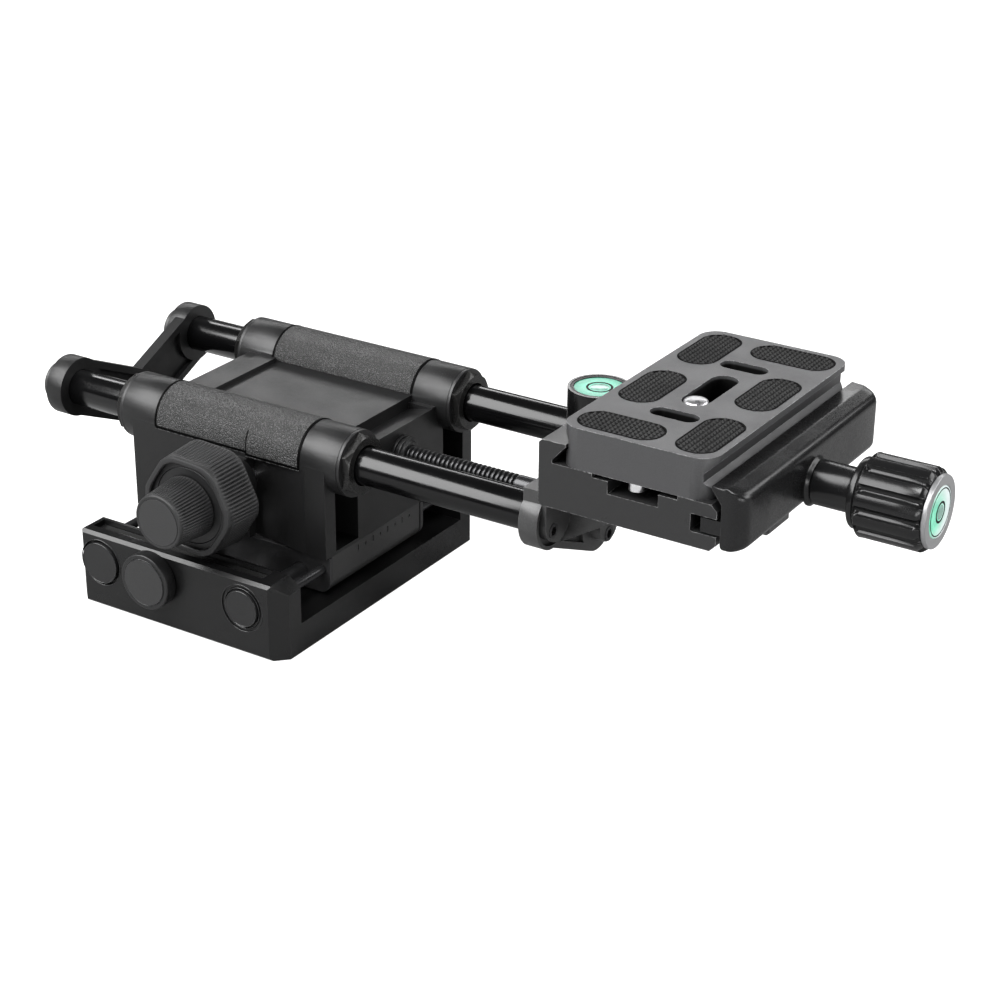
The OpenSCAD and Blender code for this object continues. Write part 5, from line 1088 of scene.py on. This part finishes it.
drill = loops_round((0, KNOB_LEVEL.y, KNOB_LEVEL.z), "x",
                    [(JAW_BORE, JAW_BACK - 4), (JAW_BORE, JAW_FACE + 4)], DRILL_STEPS)
cut_away(bar, new_mesh("drill", drill, join_loops(2, DRILL_STEPS, False)))
smooth_by_angle(bar.data, 50)
print("jaw faces:", len(bar.data.polygons))

# %% Add the jaw's boss and tongues
JAW_BOSS = [(5.9, -0.3), (5.9, 0.1), (5.6, 0.35), (5.3, 0.75), (5.1, 0.9), (JAW_BORE, 0.9),
            (JAW_BORE, -0.3)]
TONGUE_X, TONGUE_Z = (133.2, 138.4), (54.8, 58.2)
TONGUE_ENDS = [(JAW_FRONT + 0.3, 8.35), (14.65, JAW_REAR - 0.3)]
turned("jaw_boss", (JAW_FACE, KNOB_LEVEL.y, KNOB_LEVEL.z), "x", JAW_BOSS, "jaw", "clamp_alloy",
       ring=True, stands_for="moving_jaw", material=jaw_gloss)
for number, (y0, y1) in enumerate(TONGUE_ENDS):
    z0, z1 = TONGUE_Z
    corners = [(x, y, z) for x in TONGUE_X for y, z in ((y0, z0), (y1, z0), (y1, z1), (y0, z1))]
    make_piece("jaw_tongue_%d" % (number + 1), corners, join_loops(2, 4, False), "jaw", "clamp_alloy",
               "moving_jaw", jaw_gloss)
print("jaw tongues:", len(TONGUE_ENDS))

# %% [markdown]
# ## The clamp knob
#
# Twelve round lobes stand between narrow grooves, and each groove runs out in a half round behind
# the rim. Cylinders cut from a drum leave flat lobes with hard edges. Here the radius is written
# against the angle, so a lobe and a groove are one smooth line.

# %% Build the fluted clamp knob
NECK_X, RIM_X, FLUTE_X, END_X = 144.55, 154.75, 156.35, 172.55
NECK_RADIUS, RIM_RADIUS, KNOB_RADIUS = 5.25, 8.3, 9.78
SPINDLE_BORE, WINDOW_BORE, WINDOW_DEPTH = 3.04, 6.12, 3.2
LOBES, STEPS_PER_LOBE = 12, 30
GROOVE_HALF, GROOVE_DEPTH, CROWN = 1.15, 0.95, 0.22
RUN_OUT, RUN_OUT_ROWS = 1.3, 6


def lobed(radius, share):
    """Radius against angle with a share of the full groove depth."""
    pitch = 2 * math.pi / LOBES

    def at(angle):
        away = abs((angle + pitch / 2) % pitch - pitch / 2) * radius
        dip = math.sqrt(max(0.0, 1 - (away / GROOVE_HALF) ** 2))
        crown = CROWN * (1 - away / (pitch * radius / 2)) ** 2
        return radius - share * GROOVE_DEPTH * dip - share * crown
    return at


knob_rows = [(SPINDLE_BORE, NECK_X), (NECK_RADIUS - 0.3, NECK_X), (NECK_RADIUS, NECK_X + 0.3),
             (NECK_RADIUS, RIM_X - 1.5), (NECK_RADIUS + 0.25, RIM_X - 0.9),
             (RIM_RADIUS - 1.0, RIM_X - 0.3), (RIM_RADIUS - 0.2, RIM_X + 0.05),
             (RIM_RADIUS, RIM_X + 0.35), (RIM_RADIUS, FLUTE_X - 0.25), (RIM_RADIUS - 0.25, FLUTE_X),
             (RIM_RADIUS + 0.2, FLUTE_X + 0.02), (lobed(KNOB_RADIUS - 0.35, 0.12), FLUTE_X + 0.6)]
for k in range(RUN_OUT_ROWS + 1):
    share = k / RUN_OUT_ROWS
    deeper = math.sqrt(1 - (1 - share) ** 2)
    knob_rows.append((lobed(KNOB_RADIUS, deeper), FLUTE_X + 0.9 + RUN_OUT * share))
knob_rows += [(lobed(KNOB_RADIUS, 1.0), END_X - 6), (lobed(KNOB_RADIUS, 1.0), END_X - 1.3),
              (lobed(KNOB_RADIUS - 0.15, 1.0), END_X - 0.95),
              (lobed(KNOB_RADIUS - 0.9, 1.0), END_X - 0.1), (lobed(KNOB_RADIUS - 1.1, 0.9), END_X),
              (WINDOW_BORE, END_X), (WINDOW_BORE, END_X - WINDOW_DEPTH),
              (SPINDLE_BORE, END_X - WINDOW_DEPTH)]
knob_piece = turned("fluted_clamp_knob", (0, KNOB_LEVEL.y, KNOB_LEVEL.z), "x", knob_rows, "clamp_screw",
                    "clamp_alloy", ring=True, steps=LOBES * STEPS_PER_LOBE, stands_for="clamp_knob",
                    material=knob_gloss, smooth=40)
print("clamp knob faces:", len(knob_piece.data.polygons))

# %% [markdown]
# ## Light, sky and floor
#
# A product photograph of a black object is lit by large soft panels, because a black surface
# shows the lights and not itself. One wide panel, high on the left, draws the long highlights
# on rods and tubes, and weaker ones on the other sides lift the flanks. The floor wash lights
# the paper that the right flanks mirror. The camera sees a white sky, while the surfaces mirror
# a dimmer one, as it is between studio panels.

# %% Hang the light panels
def soft_panel(name, place, aim, width, depth, power):
    """A rectangular softbox that faces its aim; sizes in metres, power in watts."""
    data = bpy.data.lights.new(name, "AREA")
    data.shape = "RECTANGLE"
    data.size = width
    data.size_y = depth
    data.energy = power
    panel = link_in(name, data)
    panel.location = Vector(place)
    panel.rotation_mode = "QUATERNION"
    panel.rotation_quaternion = (Vector(aim) - Vector(place)).to_track_quat("-Z", "Y")


middle, behind_clamp = (0.06, 0.0, 0.04), (0.26, 0.17, 0.0)
soft_panel("key_panel", (-0.40, -0.52, 0.66), middle, 0.95, 0.75, 16.5)
soft_panel("overhead_panel", (0.26, -0.24, 0.70), middle, 0.28, 0.22, 3.0)
soft_panel("back_panel", (-0.45, 0.85, 0.50), middle, 1.3, 0.16, 2.8)
soft_panel("right_panel", (0.90, 0.25, 0.40), middle, 0.5, 0.4, 3.6)
soft_panel("front_panel", (0.35, -0.95, 0.22), middle, 0.8, 0.3, 0.7)
soft_panel("low_right_panel", (0.85, -0.42, 0.07), middle, 0.5, 0.1, 1.6)
soft_panel("floor_wash", (0.46, 0.44, 0.42), behind_clamp, 0.35, 0.3, 1.3)

# %% Set the sky and lay the floor
WHITE = (1.0, 1.0, 1.0, 1.0)
MIRRORED_SKY = 0.085
PAPER_GLOW = 0.72
PAPER_DARK, PAPER_PALE = (0.33, 0.33, 0.33, 1.0), (0.37, 0.37, 0.37, 1.0)
FLOOR_REACH = 6.0
FLOOR_DROP = 0.0002


def for_camera(tree, seen, otherwise):
    """Shows one shader to the camera and another to every other ray."""
    rays = put(tree, "LightPath")
    feeds = {0: rays.outputs["Is Camera Ray"], 1: otherwise.outputs[0], 2: seen.outputs[0]}
    return put(tree, "MixShader", feeds).outputs[0]


world = bpy.data.worlds.new("studio")
bpy.context.scene.world = world
world.use_nodes = True
sky = world.node_tree
sky.nodes.clear()
seen = put(sky, "Background", {"Color": WHITE, "Strength": 1.0})
mirrored = put(sky, "Background", {"Color": WHITE, "Strength": MIRRORED_SKY})
put(sky, "OutputWorld", {"Surface": for_camera(sky, seen, mirrored)})

floor_mesh = bpy.data.meshes.new("studio_floor")
floor_mesh.from_pydata([(x * FLOOR_REACH, y * FLOOR_REACH, 0)
                        for x, y in ((-1, -1), (1, -1), (1, 1), (-1, 1))], [], [(0, 1, 2, 3)])
floor = link_in("studio_floor", floor_mesh)
floor.location.z = -FLOOR_DROP
paper = bpy.data.materials.new("pale_paper")
paper.use_nodes = True
tree = paper.node_tree
tree.nodes.clear()
fibres = put(tree, "TexNoise", {"Scale": 400.0, "Detail": 3.0}).outputs[0]
lit_paper = put(tree, "BsdfDiffuse", {"Color": layer(tree, fibres, PAPER_DARK, PAPER_PALE)})
glow = put(tree, "Emission", {"Color": WHITE, "Strength": PAPER_GLOW})
bright_paper = put(tree, "AddShader", {0: lit_paper.outputs[0], 1: glow.outputs[0]})
put(tree, "OutputMaterial", {"Surface": for_camera(tree, bright_paper, lit_paper)})
floor_mesh.materials.append(paper)
view = bpy.context.scene.view_settings
view.view_transform = "Standard"
view.look = "Medium High Contrast"
print("floor and sky are set")
